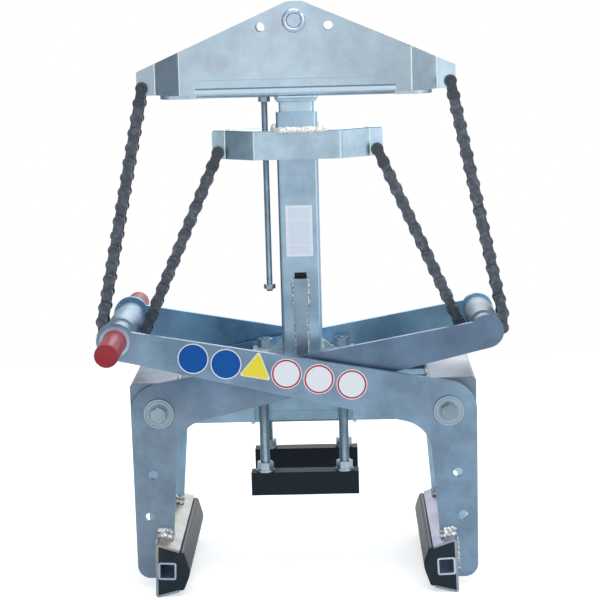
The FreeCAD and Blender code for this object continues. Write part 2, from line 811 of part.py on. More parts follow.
def inner_tube():
    foot = column_foot + side_clearance
    outer, radii = square_profile(inner_tube_side, tube_corner_radius, (0, 0))
    inner_side = inner_tube_side - 2 * inner_tube_wall
    inner, inner_radii = square_profile(inner_side, tube_corner_radius / 2, (0, 0))
    tube = plate_z(outer, radii, foot, base_bottom)
    bore = plate_z(inner, inner_radii, foot - overrun, base_bottom + overrun)
    slot = box((-tube_slot_half_width, tube_slot_half_width), (-column_side / 2, 0),
               (foot - overrun, foot + tube_slot_height))
    return tube.cut([bore, slot])


def suspension_pin():
    reach = face_inner_y + traverse_thickness + suspension_stand
    return rod_y((0, upper_bottom + suspension_height), suspension_radius, -reach, reach)


lower_nut_top = lower_bottom - head_stroke


def limit_rod():
    foot = lower_nut_top - limit_nut_height - limit_rod_stand
    head = upper_bottom + limit_nut_height + limit_rod_stand
    return rod_z(-limit_rod_x, -limit_rod_y, limit_rod_radius, foot, head)


def limit_rod_nuts():
    """Nuts below and above the base of the head, and the stop nut at the foot of the rod."""
    solids = []
    for foot in (base_bottom - limit_nut_height, upper_bottom, lower_nut_top - limit_nut_height):
        place = FreeCAD.Vector(-limit_rod_x, -limit_rod_y, foot)
        nut = hexagon(limit_nut_flats, Z_AXIS, place, limit_nut_height)
        hole = rod_z(-limit_rod_x, -limit_rod_y, limit_rod_radius + fixed_clearance,
                     foot - overrun, foot + limit_nut_height + overrun)
        solids.append(nut.cut(hole))
    return solids


def chain_route():
    """Lengths and turn of the right chain: down to the drum, round it, and up to the lower pin."""
    def tangent(place, side):
        across, up = place[0] - right_shaft[0], place[1] - right_shaft[1]
        distance = math.hypot(across, up)
        turn = math.atan2(up, across) + side * math.acos(chain_pitch_radius / distance)
        return math.sqrt(distance ** 2 - chain_pitch_radius ** 2), turn

    outer_run, start_turn = tangent(upper_pin, -1)
    inner_run, end_turn = tangent(lower_pin, 1)
    wrap = start_turn - (end_turn - 2 * math.pi)
    return outer_run, start_turn, wrap, inner_run


def chain_place(distance):
    """The place on the right chain's route at a distance from the upper pin."""
    outer_run, start_turn, wrap, inner_run = chain_route()

    def on_drum(turn):
        return (right_shaft[0] + chain_pitch_radius * math.cos(turn),
                right_shaft[1] + chain_pitch_radius * math.sin(turn))

    def between(start, end, share):
        return (start[0] + (end[0] - start[0]) * share, start[1] + (end[1] - start[1]) * share)

    arc = wrap * chain_pitch_radius
    if distance < outer_run:
        return between(upper_pin, on_drum(start_turn), distance / outer_run)
    if distance < outer_run + arc:
        return on_drum(start_turn - (distance - outer_run) / chain_pitch_radius)
    return between(on_drum(start_turn - wrap), lower_pin, (distance - outer_run - arc) / inner_run)


def link_plate(start, end, near, thickness):
    """One waisted link plate between two pins, from the face at Y = near."""
    far = near + thickness
    bar_length = math.dist(start, end)
    bar = box((0, bar_length), (near, far), (-chain_waist / 2, chain_waist / 2))
    tilt = math.degrees(math.atan2(end[1] - start[1], end[0] - start[0]))
    bar.rotate(ORIGIN, Y_AXIS, -tilt)
    bar.translate(FreeCAD.Vector(start[0], 0, start[1]))
    rounds = [rod_y(place, chain_plate_radius, near, far) for place in (start, end)]
    return bar.fuse(rounds)


def inner_link(start, end, rollers):
    """A link of two inner plates and its rollers, bored for the pins."""
    near = chain_inner_gap / 2
    plate = link_plate(start, end, near, chain_inner_plate)
    pieces = [mirror_y(plate)] + [rod_y(place, chain_roller_radius, -near, near) for place in rollers]
    link = plate.fuse(pieces)
    reach = chain_half_width + overrun
    bores = [rod_y(place, chain_pin_radius + chain_play, -reach, reach) for place in (start, end)]
    return link.cut(bores).removeSplitter()


def outer_link(start, end):
    """A link of two outer plates and its two pins."""
    plate = link_plate(start, end, outer_link_y, chain_outer_plate)
    pins = [rod_y(place, chain_pin_radius, -chain_half_width, chain_half_width)
            for place in (start, end)]
    return plate.fuse([mirror_y(plate)] + pins).removeSplitter()


def last_link(start):
    """The link of two outer plates that is bored for the lower traverse's pin."""
    plate = link_plate(start, lower_pin, outer_link_y, chain_outer_plate)
    pin = rod_y(start, chain_pin_radius, -chain_half_width, chain_half_width)
    reach = chain_half_width + overrun
    bore = rod_y(lower_pin, chain_pin_radius + chain_play, -reach, reach)
    return plate.fuse([mirror_y(plate), pin]).cut(bore).removeSplitter()


def chain_washers():
    """Washers on the lower pins, between the tips and the chains' last plates."""
    near = tip_inner_y + traverse_thickness + chain_play
    washer = ring_y(lower_pin, chain_washer_radius, chain_pin_radius + chain_play,
                    near, outer_link_y - chain_play)
    washers = both_y(washer)
    return washers + [mirror_x(washer) for washer in washers]


def right_chain():
    """The right chain in three groups of links: outer strand, wrap and inner strand."""
    outer_run, _, wrap, inner_run = chain_route()
    arc = wrap * chain_pitch_radius
    total = outer_run + arc + inner_run
    count = 2 * round(total / chain_pitch / 2)
    step = total / count
    places = [chain_place(step * index) for index in range(count + 1)]
    strands = ([], [], [])
    for index in range(count):
        start, end = places[index], places[index + 1]
        if index % 2 == 0:
            link = inner_link(start, end, places[max(index, 1):index + 2])
        elif index < count - 1:
            link = outer_link(start, end)
        else:
            link = last_link(start)
        middle = step * (index + 0.5)
        strand = 0 if middle < outer_run else 1 if middle < outer_run + arc else 2
        strands[strand].append(link)
    print("chain links", count, "spacing", round(step, 2))
    return strands


parts = {}


def add(name, solids):
    """Keeps a node, either one solid or a list of solids."""
    parts[name] = Part.makeCompound(solids) if isinstance(solids, list) else solids


# Frame: end boxes, beams, centre box, column and lower traverse
add("right_end_box", end_box())
add("left_end_box", mirror_x(end_box()))
add("end_box_caps", end_caps() + [mirror_x(cap) for cap in end_caps()])
add("right_beams", beams())
add("left_beams", [mirror_x(beam) for beam in beams()])
add("centre_side_plates", centre_side_plates())
add("centre_cross_plates", centre_cross_plates())
add("centre_top_plate", centre_top_plate())
add("column_tube", column_tube())
add("column_gussets", column_gussets())
add("latch_cover", latch_cover())
add("latch_pin", latch_pin())
add("lower_traverse_rear", lower_face())
add("lower_traverse_front", mirror_y(lower_face()))
add("lower_traverse_web", lower_web())
add("rod_guide", rod_guide())
add("lower_chain_pins", chain_pins(lower_pin) + chain_washers())
add("front_pad", front_pad())
add("rear_pad", mirror_y(front_pad()))
add("pad_rods", pad_rods())
add("pad_rod_fixings", rod_fixings())

# Pivots: the right one carries the outer lever and the left one the inner lever
right_pivot_shaft, right_pivot_washers, right_pivot_screws = pivot_parts(outer_plate_y)
left_pivot_shaft, left_pivot_washers, left_pivot_screws = pivot_parts(inner_plate_y)
add("right_pivot_shaft", right_pivot_shaft)
add("left_pivot_shaft", mirror_x(left_pivot_shaft))
add("pivot_washers", right_pivot_washers + [mirror_x(washer) for washer in left_pivot_washers])
add("pivot_screws", right_pivot_screws + [mirror_x(screw) for screw in left_pivot_screws])
add("pivot_spacers", pivot_spacers())

# Head: upper traverse, inner tube and limit rod
add("upper_traverse_rear", upper_face())
add("upper_traverse_front", mirror_y(upper_face()))
add("upper_traverse_base", upper_base())
add("tube_collar", tube_collar())
add("inner_tube", inner_tube())
add("suspension_pin", suspension_pin())
add("upper_chain_pins", chain_pins(upper_pin))
add("limit_rod", limit_rod())
add("limit_rod_nuts", limit_rod_nuts())

# Right-jaw lever, with its lift shaft on the left
outer_plate = lever_plate(outer_lever_end_radius, outer_plate_y, True)
add("right_jaw_lever_rear", outer_plate)
add("right_jaw_lever_front", mirror_y(outer_plate))
add("right_jaw_channel", jaw_channel())
add("right_jaw_rail", jaw_rail())
add("right_jaw_rubber", jaw_rubber(right_nose_rise))
add("left_lift_shaft", mirror_x(lift_shaft(grip_bore_end)))
add("left_shaft_sleeves", [mirror_x(sleeve) for sleeve in shaft_sleeves(outer_plate_y)])
add("left_shaft_washers", shaft_washers())
add("shaft_grips", shaft_grips())

# Left-jaw lever, with its lift shaft on the right
inner_plate = mirror_x(lever_plate(inner_lever_end_radius, inner_plate_y, False))
add("left_jaw_lever_rear", inner_plate)
add("left_jaw_lever_front", mirror_y(inner_plate))
add("left_jaw_channel", mirror_x(jaw_channel()))
add("left_jaw_rail", mirror_x(jaw_rail()))
add("left_jaw_rubber", mirror_x(jaw_rubber(left_nose_rise)))
add("right_lift_shaft", lift_shaft(inner_plate_y))
add("right_shaft_sleeves", shaft_sleeves(inner_plate_y))

# Drums, chains and latch
add("right_chain_drum", chain_drum())
add("left_chain_drum", mirror_x(chain_drum()))
outer_strand, wrap_links, inner_strand = right_chain()
for strand_name, links in (("outer", outer_strand), ("wrap", wrap_links), ("inner", inner_strand)):
    add("right_chain_" + strand_name, links)
    add("left_chain_" + strand_name, [mirror_x(link) for link in links])
add("latch_pawl", latch_pawl())

os.makedirs("parts", exist_ok=True)
for name, shape in parts.items():
    shape.exportStep("parts/" + name + ".step")
print(len(parts), "nodes")
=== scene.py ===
import math
import random

import bmesh
import bpy
import mathutils.noise
from mathutils import Matrix, Vector
from mathutils.geometry import delaunay_2d_cdt


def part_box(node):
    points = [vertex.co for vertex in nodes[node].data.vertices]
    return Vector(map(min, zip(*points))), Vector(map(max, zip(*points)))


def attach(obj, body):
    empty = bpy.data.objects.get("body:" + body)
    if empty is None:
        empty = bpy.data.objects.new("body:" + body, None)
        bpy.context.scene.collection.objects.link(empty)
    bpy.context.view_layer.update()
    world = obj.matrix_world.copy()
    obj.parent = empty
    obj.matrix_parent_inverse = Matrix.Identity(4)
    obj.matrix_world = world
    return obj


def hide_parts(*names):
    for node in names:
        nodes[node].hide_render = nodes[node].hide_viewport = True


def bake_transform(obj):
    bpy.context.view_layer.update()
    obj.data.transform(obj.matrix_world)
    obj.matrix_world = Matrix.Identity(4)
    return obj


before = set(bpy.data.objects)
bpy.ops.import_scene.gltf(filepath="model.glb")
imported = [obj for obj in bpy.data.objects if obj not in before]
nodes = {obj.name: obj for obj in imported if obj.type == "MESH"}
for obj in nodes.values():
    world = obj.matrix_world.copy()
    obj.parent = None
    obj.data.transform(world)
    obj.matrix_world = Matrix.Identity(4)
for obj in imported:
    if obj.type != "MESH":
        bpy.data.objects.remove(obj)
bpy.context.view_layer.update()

scene = bpy.context.scene
scene.view_settings.view_transform = "Standard"


# Node helpers

def new_material(name):
    material = bpy.data.materials.new(name)
    material.use_nodes = True
    shader = material.node_tree.nodes["Principled BSDF"]
    return material, material.node_tree, shader


def add_node(tree, kind, **values):
    """A node with its inputs and settings given by name."""
    node = tree.nodes.new(kind)
    for key, value in values.items():
        if key in node.inputs:
            node.inputs[key].default_value = value
        else:
            setattr(node, key, value)
    return node


def coordinates(tree, stretch=(1, 1, 1)):
    """Object coordinates in metres, squeezed along an axis to draw a texture out along it."""
    place = tree.nodes.new("ShaderNodeTexCoord")
    mapping = add_node(tree, "ShaderNodeMapping", Scale=stretch)
    tree.links.new(place.outputs["Object"], mapping.inputs["Vector"])
    return mapping.outputs["Vector"]


def along_axis(tree, axis):
    """The object coordinate along an axis."""
    split = tree.nodes.new("ShaderNodeSeparateXYZ")
    tree.links.new(tree.nodes.new("ShaderNodeTexCoord").outputs["Object"], split.inputs["Vector"])
    return split.outputs[axis]


def noise(tree, vector, scale, detail, roughness):
    node = add_node(tree, "ShaderNodeTexNoise", Scale=scale, Detail=detail, Roughness=roughness)
    tree.links.new(vector, node.inputs["Vector"])
    return node.outputs["Fac"]


def ramp(tree, factor, stops):
    """A colour ramp from (place, colour or level) pairs."""
    node = tree.nodes.new("ShaderNodeValToRGB")
    elements = node.color_ramp.elements
    while len(elements) < len(stops):
        elements.new(0.5)
    for element, (place, value) in zip(elements, stops):
        element.position = place
        colour = value if isinstance(value, tuple) else (value, value, value)
        element.color = (*colour, 1)
    tree.links.new(factor, node.inputs["Fac"])
    return node.outputs["Color"]


def mix(tree, factor, first, second, blend_type="MIX"):
    """Two colours mixed; the factor and the colours are sockets or plain values."""
    node = tree.nodes.new("ShaderNodeMix")
    node.data_type = "RGBA"
    node.blend_type = blend_type
    colours = [socket for socket in node.inputs if socket.type == "RGBA"]
    for target, value in zip([node.inputs["Factor"], *colours], (factor, first, second)):
        if isinstance(value, bpy.types.NodeSocket):
            tree.links.new(value, target)
        elif isinstance(value, tuple):
            target.default_value = (*value, 1)
        else:
            target.default_value = value
    return next(socket for socket in node.outputs if socket.type == "RGBA")


def bump(tree, shader, height, strength, distance):
    node = add_node(tree, "ShaderNodeBump", Strength=strength, Distance=distance)
    tree.links.new(height, node.inputs["Height"])
    tree.links.new(node.outputs["Normal"], shader.inputs["Normal"])


def shade(colour, factor):
    """A colour times a level, or times a level for each channel."""
    levels = factor if isinstance(factor, tuple) else (factor, factor, factor)
    return tuple(min(1, channel * level) for channel, level in zip(colour, levels))


def stretched(tree, value, scale, shift):
    """A value times a scale, plus a shift."""
    node = add_node(tree, "ShaderNodeMath", operation="MULTIPLY_ADD")
    tree.links.new(value, node.inputs[0])
    node.inputs[1].default_value = scale
    node.inputs[2].default_value = shift
    return node.outputs["Value"]


def compare(tree, value, place, reach):
    """A level that is one where a value lies within a reach of a place."""
    node = add_node(tree, "ShaderNodeMath", operation="COMPARE")
    tree.links.new(value, node.inputs[0])
    node.inputs[1].default_value = place
    node.inputs[2].default_value = reach
    return node.outputs["Value"]


def join_levels(tree, operation, first, second):
    node = add_node(tree, "ShaderNodeMath", operation=operation)
    tree.links.new(first, node.inputs[0])
    tree.links.new(second, node.inputs[1])
    return node.outputs["Value"]


def compare_any(tree, value, places, width):
    """A level that is one where a value lies within half a width of one of the places."""
    level = compare(tree, value, places[0], width / 2)
    for place in places[1:]:
        level = join_levels(tree, "MAXIMUM", level, compare(tree, value, place, width / 2))
    return level


# Marks on a material at places on the object; most of them are painted light and shade
TONE_REACH = 1.0


def tone_steps(tree, axis, steps):
    """Levels between places along an axis, for faces that the light meets differently."""
    share = stretched(tree, along_axis(tree, axis), 0.5 / TONE_REACH, 0.5)
    stops = [(0.5 + 0.5 * spot / TONE_REACH, level) for spot, level in steps]
    return ramp(tree, share, stops)


def line_level(tree, axis, places, width, reach):
    """A level that is high on thin lines across an axis, as far left and right as the reach."""
    level = compare_any(tree, along_axis(tree, axis), places, width)
    return join_levels(tree, "MULTIPLY", level, compare(tree, along_axis(tree, "X"), 0, reach))


def circle_level(tree, centre, radii, width):
    """A level that is high on circles round a place and its mirror image, as seen from the front.

    With a radius of zero it is high on a disc as wide as the width.
    """
    side = add_node(tree, "ShaderNodeMath", operation="ABSOLUTE")
    tree.links.new(along_axis(tree, "X"), side.inputs[0])
    spot = tree.nodes.new("ShaderNodeCombineXYZ")
    tree.links.new(side.outputs["Value"], spot.inputs["X"])
    tree.links.new(along_axis(tree, "Z"), spot.inputs["Z"])
    away = add_node(tree, "ShaderNodeVectorMath", operation="DISTANCE")
    tree.links.new(spot.outputs["Vector"], away.inputs[0])
    away.inputs[1].default_value = (centre[0], 0, centre[1])
    return compare_any(tree, away.outputs["Value"], radii, width)


# Kinds of material
WAVE_PERIOD_AT_ONE = math.pi / 10

# Tints of the tarnish
VIOLET = (0.55, 0.50, 0.62)
ROSE = (1.10, 0.95, 0.96)
STRAW = (1.15, 0.98, 0.90)
LILAC = (1.10, 0.90, 1.05)

# Least and greatest roughness of plated steel, from the shiniest to the dullest
ROLLED = (0.15, 0.26)
GROUND = (0.22, 0.38)
FORGED = (0.24, 0.40)
BRIGHT = (0.26, 0.40)
SATIN = (0.28, 0.42)
PLAIN = (0.30, 0.46)
DULL = (0.34, 0.50)
TURNED = (0.36, 0.52)
MATT = (0.38, 0.52)


def thread_waves(tree, pitch):
    """Waves up a rod at the pitch of its thread."""
    wave = add_node(tree, "ShaderNodeTexWave", Scale=WAVE_PERIOD_AT_ONE / pitch, wave_type="BANDS",
                    bands_direction="Z")
    tree.links.new(coordinates(tree), wave.inputs["Vector"])
    return wave.outputs["Fac"]


def zinc(name, colour, streak=(1, 1, 1), metallic=0.85, rough=PLAIN, tint=VIOLET, tarnished=0.35,
         clouds=(0.79, 1.19), tones=(), lines=(), circles=(), thread=None):
    """Bright zinc plating: cloudy patches, faint rolling streaks and a little tarnish.

    tones holds (axis, steps), lines (axis, places, width, level, reach) and circles (centre, radii,
    width, level); a level multiplies the colour there. Most of them are painted light and shade:
    faces lit or shaded, highlight lines and rings, and shade lines.
    """
    material, tree, shader = new_material(name)
    vector = coordinates(tree)
    cloud = noise(tree, vector, scale=11, detail=6, roughness=0.65)
    base = ramp(tree, cloud, [(0.37, shade(colour, clouds[0])), (0.51, colour),
                              (0.65, shade(colour, clouds[1]))])
    streaks = noise(tree, coordinates(tree, streak), scale=160, detail=3, roughness=0.6)
    base = mix(tree, 1.0, base, ramp(tree, streaks, [(0.35, 0.97), (0.65, 1.0)]), "MULTIPLY")
    tarnish = noise(tree, vector, scale=17, detail=6, roughness=0.7)
    base = mix(tree, ramp(tree, tarnish, [(0.48, 0.0), (0.72, tarnished)]), base, shade(tint, max(colour)))
    speck = noise(tree, vector, scale=420, detail=2, roughness=0.5)
    base = mix(tree, ramp(tree, speck, [(0.66, 0.0), (0.74, 0.30)]), base, shade(colour, 1.35))
    for axis, steps in tones:
        base = mix(tree, 1.0, base, tone_steps(tree, axis, steps), "MULTIPLY")
    for axis, places, width, level, reach in lines:
        base = mix(tree, line_level(tree, axis, places, width, reach), base, shade(colour, level))
    for centre, radii, width, level in circles:
        base = mix(tree, circle_level(tree, centre, radii, width), base, shade(colour, level))
    tree.links.new(base, shader.inputs["Base Color"])
    sheen = noise(tree, vector, scale=26, detail=5, roughness=0.65)
    tree.links.new(ramp(tree, sheen, [(0.30, rough[0]), (0.72, rough[1])]), shader.inputs["Roughness"])
    shader.inputs["Metallic"].default_value = metallic
    if thread:
        bump(tree, shader, thread_waves(tree, thread), strength=0.9, distance=thread / 3)
    else:
        bump(tree, shader, streaks, strength=0.05, distance=0.0005)
    return material


def dark_steel(name, colour, worn, oiled=(), oiled_reach=0):
    """Black steel, rubbed bright in random patches, and darker with oil round some places."""
    material, tree, shader = new_material(name)
    vector = coordinates(tree)
    patches = noise(tree, vector, scale=110, detail=3, roughness=0.5)
    base = ramp(tree, patches, [(0.34, shade(colour, 0.78)), (0.52, colour), (0.70, worn)])
    for centre in oiled:
        base = mix(tree, circle_level(tree, centre, [0], 2 * oiled_reach), base, shade(colour, 0.70))
    tree.links.new(base, shader.inputs["Base Color"])
    sheen = noise(tree, vector, scale=60, detail=4, roughness=0.6)
    tree.links.new(ramp(tree, sheen, [(0.3, 0.26), (0.7, 0.42)]), shader.inputs["Roughness"])
    shader.inputs["Metallic"].default_value = 0.75
    return material


def rubber(name, colour, dust, rough, dust_level, specular=0.5):
    """Moulded rubber with a fine grain and a little dust."""
    material, tree, shader = new_material(name)
    vector = coordinates(tree)
    cloud = noise(tree, vector, scale=34, detail=5, roughness=0.65)
    base = mix(tree, ramp(tree, cloud, [(0.45, 0.0), (0.85, dust_level)]), colour, dust)
    tree.links.new(base, shader.inputs["Base Color"])
    shader.inputs["Roughness"].default_value = rough
    shader.inputs["Specular IOR Level"].default_value = specular
    shader.inputs["Specular Tint"].default_value = (0.76, 0.90, 1.0, 1)
    grain = noise(tree, vector, scale=900, detail=3, roughness=0.6)
    bump(tree, shader, grain, strength=0.18, distance=0.0004)
    return material


def paint(name, colour, rough=0.38):
    """Printed foil with slight scuffs."""
    material, tree, shader = new_material(name)
    scuffs = noise(tree, coordinates(tree), scale=140, detail=5, roughness=0.7)
    base = mix(tree, ramp(tree, scuffs, [(0.58, 0.0), (0.82, 0.30)]), colour, shade(colour, 1.5))
    tree.links.new(base, shader.inputs["Base Color"])
    shader.inputs["Roughness"].default_value = rough
    shader.inputs["Specular IOR Level"].default_value = 0.15
    return material


def weld_metal(name, colour, hollow):
    """Weld seams under zinc: bright and scaly; hollow is the level of the colour in the hollows."""
    material, tree, shader = new_material(name)
    vector = coordinates(tree)
    grain = noise(tree, vector, scale=240, detail=4, roughness=0.6)
    base = ramp(tree, grain, [(0.38, shade(colour, hollow)), (0.50, shade(colour, (1 + hollow) / 2)),
                              (0.60, colour)])
    tree.links.new(base, shader.inputs["Base Color"])
    shader.inputs["Metallic"].default_value = 0.6
    shader.inputs["Roughness"].default_value = 0.32
    cells = add_node(tree, "ShaderNodeTexVoronoi", Scale=300)
    tree.links.new(vector, cells.inputs["Vector"])
    bump(tree, shader, cells.outputs["Distance"], strength=0.9 * (1 - hollow), distance=0.0015)
    return material


# Materials: stretch of the rolling streaks, then tones and lines in the object's own metres, most of them
# painted light and shade
ALONG_X = (0.03, 1, 1)
ALONG_Y = (1, 0.03, 1)
ALONG_Z = (1, 1, 0.03)
SOFT_X = (0.25, 1, 1)
EVERYWHERE = 1.0
FOLD_REACH = 0.165
# Painted light on the upper traverse: the slanted faces darker and the front face lighter across X, painted
# highlight lines on the four bends, and two painted shade lines above a painted highlight band at the
# bottom fold.
UPPER_PAINTED_LIGHT_TONES = ((-0.238, 0.82), (-0.230, 0.80), (-0.195, 0.82), (-0.187, 1.04), (0.0, 1.14), (0.100, 0.95),
               (0.187, 0.82), (0.195, 0.86), (0.230, 0.88), (0.238, 1.26))
UPPER_PAINTED_LIGHT_LINES = (("X", (-0.234, -0.191, 0.191, 0.234), 0.0022, 1.7, EVERYWHERE),
               ("Z", (0.8510,), 0.0008, 0.72, FOLD_REACH),
               ("Z", (0.8370,), 0.0024, 0.36, FOLD_REACH),
               ("Z", (0.8320,), 0.0060, 1.25, FOLD_REACH))
upper_zinc = zinc("upper_zinc", (0.50, 0.63, 0.73), SOFT_X, rough=BRIGHT, clouds=(0.87, 1.10),
                  tones=[("X", UPPER_PAINTED_LIGHT_TONES)], lines=UPPER_PAINTED_LIGHT_LINES)

# Painted light on the lower traverse: its left slant a little darker and its right slant much lighter,
# painted highlight lines on the four bends and a painted shade line at 0.765 m.
LOWER_PAINTED_LIGHT_TONES = ((-0.076, 0.92), (-0.068, 1.0), (0.068, 1.0), (0.076, 1.45))
LOWER_PAINTED_LIGHT_LINES = (("X", (-0.121, -0.072, 0.072, 0.121), 0.0022, 1.7, EVERYWHERE),
               ("Z", (0.7652,), 0.0012, 0.5, EVERYWHERE))
lower_zinc = zinc("lower_zinc", (0.445, 0.59, 0.70), SOFT_X, rough=BRIGHT, tones=[("X", LOWER_PAINTED_LIGHT_TONES)],
                  lines=LOWER_PAINTED_LIGHT_LINES)
sheet_zinc = zinc("sheet_zinc", (0.52, 0.68, 0.80), SOFT_X)
web_zinc = zinc("web_zinc", (0.42, 0.50, 0.55), SOFT_X)

# The inner front lever is a slightly darker copy of the lever zinc, with painted shade on its bar rising
# from 0.29 m to full at 0.36 m.
INNER_SHADE_HEIGHTS = ((0.29, 1.0), (0.36, (0.60, 0.66, 0.75)))
lever_zinc = zinc("lever_zinc", (0.228, 0.345, 0.465), SOFT_X)
shaded_inner_lever_zinc = zinc("shaded_inner_lever_zinc", (0.235, 0.33, 0.43), SOFT_X, tones=[("Z", INNER_SHADE_HEIGHTS)])

# The rear levers are a lighter copy of the lever zinc as painted light, since the front plates shade them:
# darker to the left, lighter to the right and much lighter and greyer below 0.24 m. The lines at the
# plates' back faces turn them a plainer, less blue grey.
REAR_PAINTED_LIGHT_SIDES = ((-0.05, (0.74, 0.84, 0.92)), (0.05, (1.05, 1.14, 1.15)))
REAR_PAINTED_LIGHT_HEIGHTS = ((0.24, (2.0, 1.7, 1.45)), (0.31, 1.0))
REAR_FACES = (("Y", (0.1003, 0.1184), 0.0010, (1.35, 1.02, 0.92), EVERYWHERE),)
lit_rear_lever_zinc = zinc("lit_rear_lever_zinc", (0.27, 0.46, 0.62), SOFT_X,
                       tones=[("X", REAR_PAINTED_LIGHT_SIDES), ("Z", REAR_PAINTED_LIGHT_HEIGHTS)], lines=REAR_FACES)

# Painted shade on the end boxes: their faces below the top are darker and bluer than the top.
BOX_PAINTED_SHADE_HEIGHTS = ((0.345, (0.45, 0.62, 0.78)), (0.353, 1.0))
box_zinc = zinc("box_zinc", (0.56, 0.60, 0.65), ALONG_Y, metallic=0.6, rough=MATT, tint=ROSE, tarnished=0.8,
                tones=[("Z", BOX_PAINTED_SHADE_HEIGHTS)])
cap_zinc = zinc("cap_zinc", (0.21, 0.28, 0.36), ALONG_X, metallic=0.6, rough=MATT)
beam_zinc = zinc("beam_zinc", (0.28, 0.42, 0.52), ALONG_X)
# The centre top plate is a paler, less metallic copy of the sheet zinc: painted light against the shade of
# the levers.
lit_top_plate_zinc = zinc("lit_top_plate_zinc", (0.66, 0.76, 0.84), metallic=0.35, rough=DULL)

CROSS_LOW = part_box("centre_cross_plates")[0][2]
CROSS_REACH = 0.075
# A painted shadow line along the cross plates' lower edge, and a thinner darker line 19 mm above it.
CROSS_DARK_LINES = (("Z", (CROSS_LOW + 0.0014,), 0.0028, 0.42, CROSS_REACH),
               ("Z", (CROSS_LOW + 0.0190,), 0.0011, 0.70, CROSS_REACH))
cross_zinc = zinc("cross_zinc", (0.255, 0.41, 0.53), ALONG_X, lines=CROSS_DARK_LINES)

# Painted light on the column: much lighter at its foot, painted shade around 0.47 m and a little lighter
# above 0.57 m; a painted highlight line down its right edge and a painted shade line down its left edge.
COLUMN_PAINTED_LIGHT_HEIGHTS = ((0.390, (1.55, 1.52, 1.45)), (0.425, (1.0, 1.04, 1.06)), (0.470, (0.73, 0.78, 0.81)),
                  (0.570, 1.08))
COLUMN_PAINTED_EDGE_LINES = (("X", (0.0318,), 0.0040, 1.5, EVERYWHERE),
                ("X", (-0.0325,), 0.0025, 0.7, EVERYWHERE))
column_zinc = zinc("column_zinc", (0.35, 0.49, 0.61), ALONG_Z, rough=BRIGHT, tones=[("Z", COLUMN_PAINTED_LIGHT_HEIGHTS)],
                   lines=COLUMN_PAINTED_EDGE_LINES)
cover_zinc = zinc("cover_zinc", (0.24, 0.34, 0.43), ALONG_Z, rough=BRIGHT)
gusset_zinc = zinc("gusset_zinc", (0.50, 0.62, 0.70), metallic=0.6)

LEFT_FLANGE = ((0.080, (0.86, 0.98, 1.08)), (0.088, (1.14, 0.99, 0.86)))
RIGHT_FLANGE = ((0.080, (0.86, 0.98, 1.08)), (0.088, (1.08, 1.0, 1.18)))
left_jaw_zinc = zinc("left_jaw_zinc", (0.38, 0.40, 0.40), ALONG_Y, tint=STRAW, tarnished=0.9,
                     tones=[("Z", LEFT_FLANGE)])
right_jaw_zinc = zinc("right_jaw_zinc", (0.36, 0.39, 0.42), ALONG_Y, tint=LILAC, tarnished=0.9,
                      tones=[("Z", RIGHT_FLANGE)])

PIVOT = (0.241, 0.305)
# Painted highlight rings on the pivot washers, at two radii round each pivot.
PIVOT_HIGHLIGHT_CIRCLES = ((PIVOT, (0.0190, 0.0239), 0.0012, 1.45),)
# Painted light on the pivot screws: the left one lighter and the right one darker.
SCREW_LIGHT_SIDES = ((-0.20, 1.14), (0.20, 0.76))
M16_PITCH = 0.002
M10_PITCH = 0.0015
shaft_zinc = zinc("shaft_zinc", (0.34, 0.43, 0.52), ALONG_Y, metallic=0.95, rough=GROUND)
bolt_zinc = zinc("bolt_zinc", (0.34, 0.44, 0.50), ALONG_Z, metallic=0.95, rough=FORGED)
screw_zinc = zinc("screw_zinc", (0.34, 0.44, 0.50), ALONG_Y, metallic=0.95, rough=FORGED,
                  tones=[("X", SCREW_LIGHT_SIDES)])
washer_zinc = zinc("washer_zinc", (0.56, 0.67, 0.80), metallic=0.9, rough=SATIN)
ring_zinc = zinc("ring_zinc", (0.30, 0.39, 0.46), metallic=0.9, rough=SATIN, circles=PIVOT_HIGHLIGHT_CIRCLES)
nut_zinc = zinc("nut_zinc", (0.42, 0.53, 0.60), metallic=0.9, rough=BRIGHT)
drum_zinc = zinc("drum_zinc", (0.30, 0.44, 0.55), metallic=0.6, rough=TURNED)
# The right drum and its sleeves are a darker copy of the drum zinc: painted shade.
shaded_right_drum_zinc = zinc("shaded_right_drum_zinc", (0.23, 0.31, 0.38), metallic=0.6, rough=TURNED)
pad_rod_zinc = zinc("pad_rod_zinc", (0.30, 0.42, 0.50), ALONG_Z, metallic=0.95, rough=ROLLED,
                    thread=M16_PITCH)
limit_rod_zinc = zinc("limit_rod_zinc", (0.28, 0.38, 0.46), ALONG_Z, metallic=0.95, thread=M10_PITCH)

UPPER_PIN = Vector((0.2565, 0.839))
LOWER_PIN = Vector((0.1333, 0.729))
FIRST_LINK = 0.031
chain_black = dark_steel("chain_black", (0.099, 0.114, 0.139), worn=(0.155, 0.177, 0.210),
                         oiled=(UPPER_PIN, LOWER_PIN), oiled_reach=FIRST_LINK)
# The latch pawl is near black as painted shade, standing in for the dark inside of the latch slot.
latch_shade_black = dark_steel("latch_shade_black", (0.03, 0.035, 0.045), worn=(0.08, 0.09, 0.10))

grip_red = rubber("grip_red", (0.29, 0.010, 0.018), dust=(0.40, 0.10, 0.12), rough=0.40, dust_level=0.30)
pad_black = rubber("pad_black", (0.002, 0.006, 0.012), dust=(0.010, 0.018, 0.028), rough=0.50,
                   dust_level=0.25, specular=0.32)
jaw_black = rubber("jaw_black", (0.002, 0.006, 0.011), dust=(0.012, 0.026, 0.044), rough=0.30,
                   dust_level=0.8, specular=0.45)

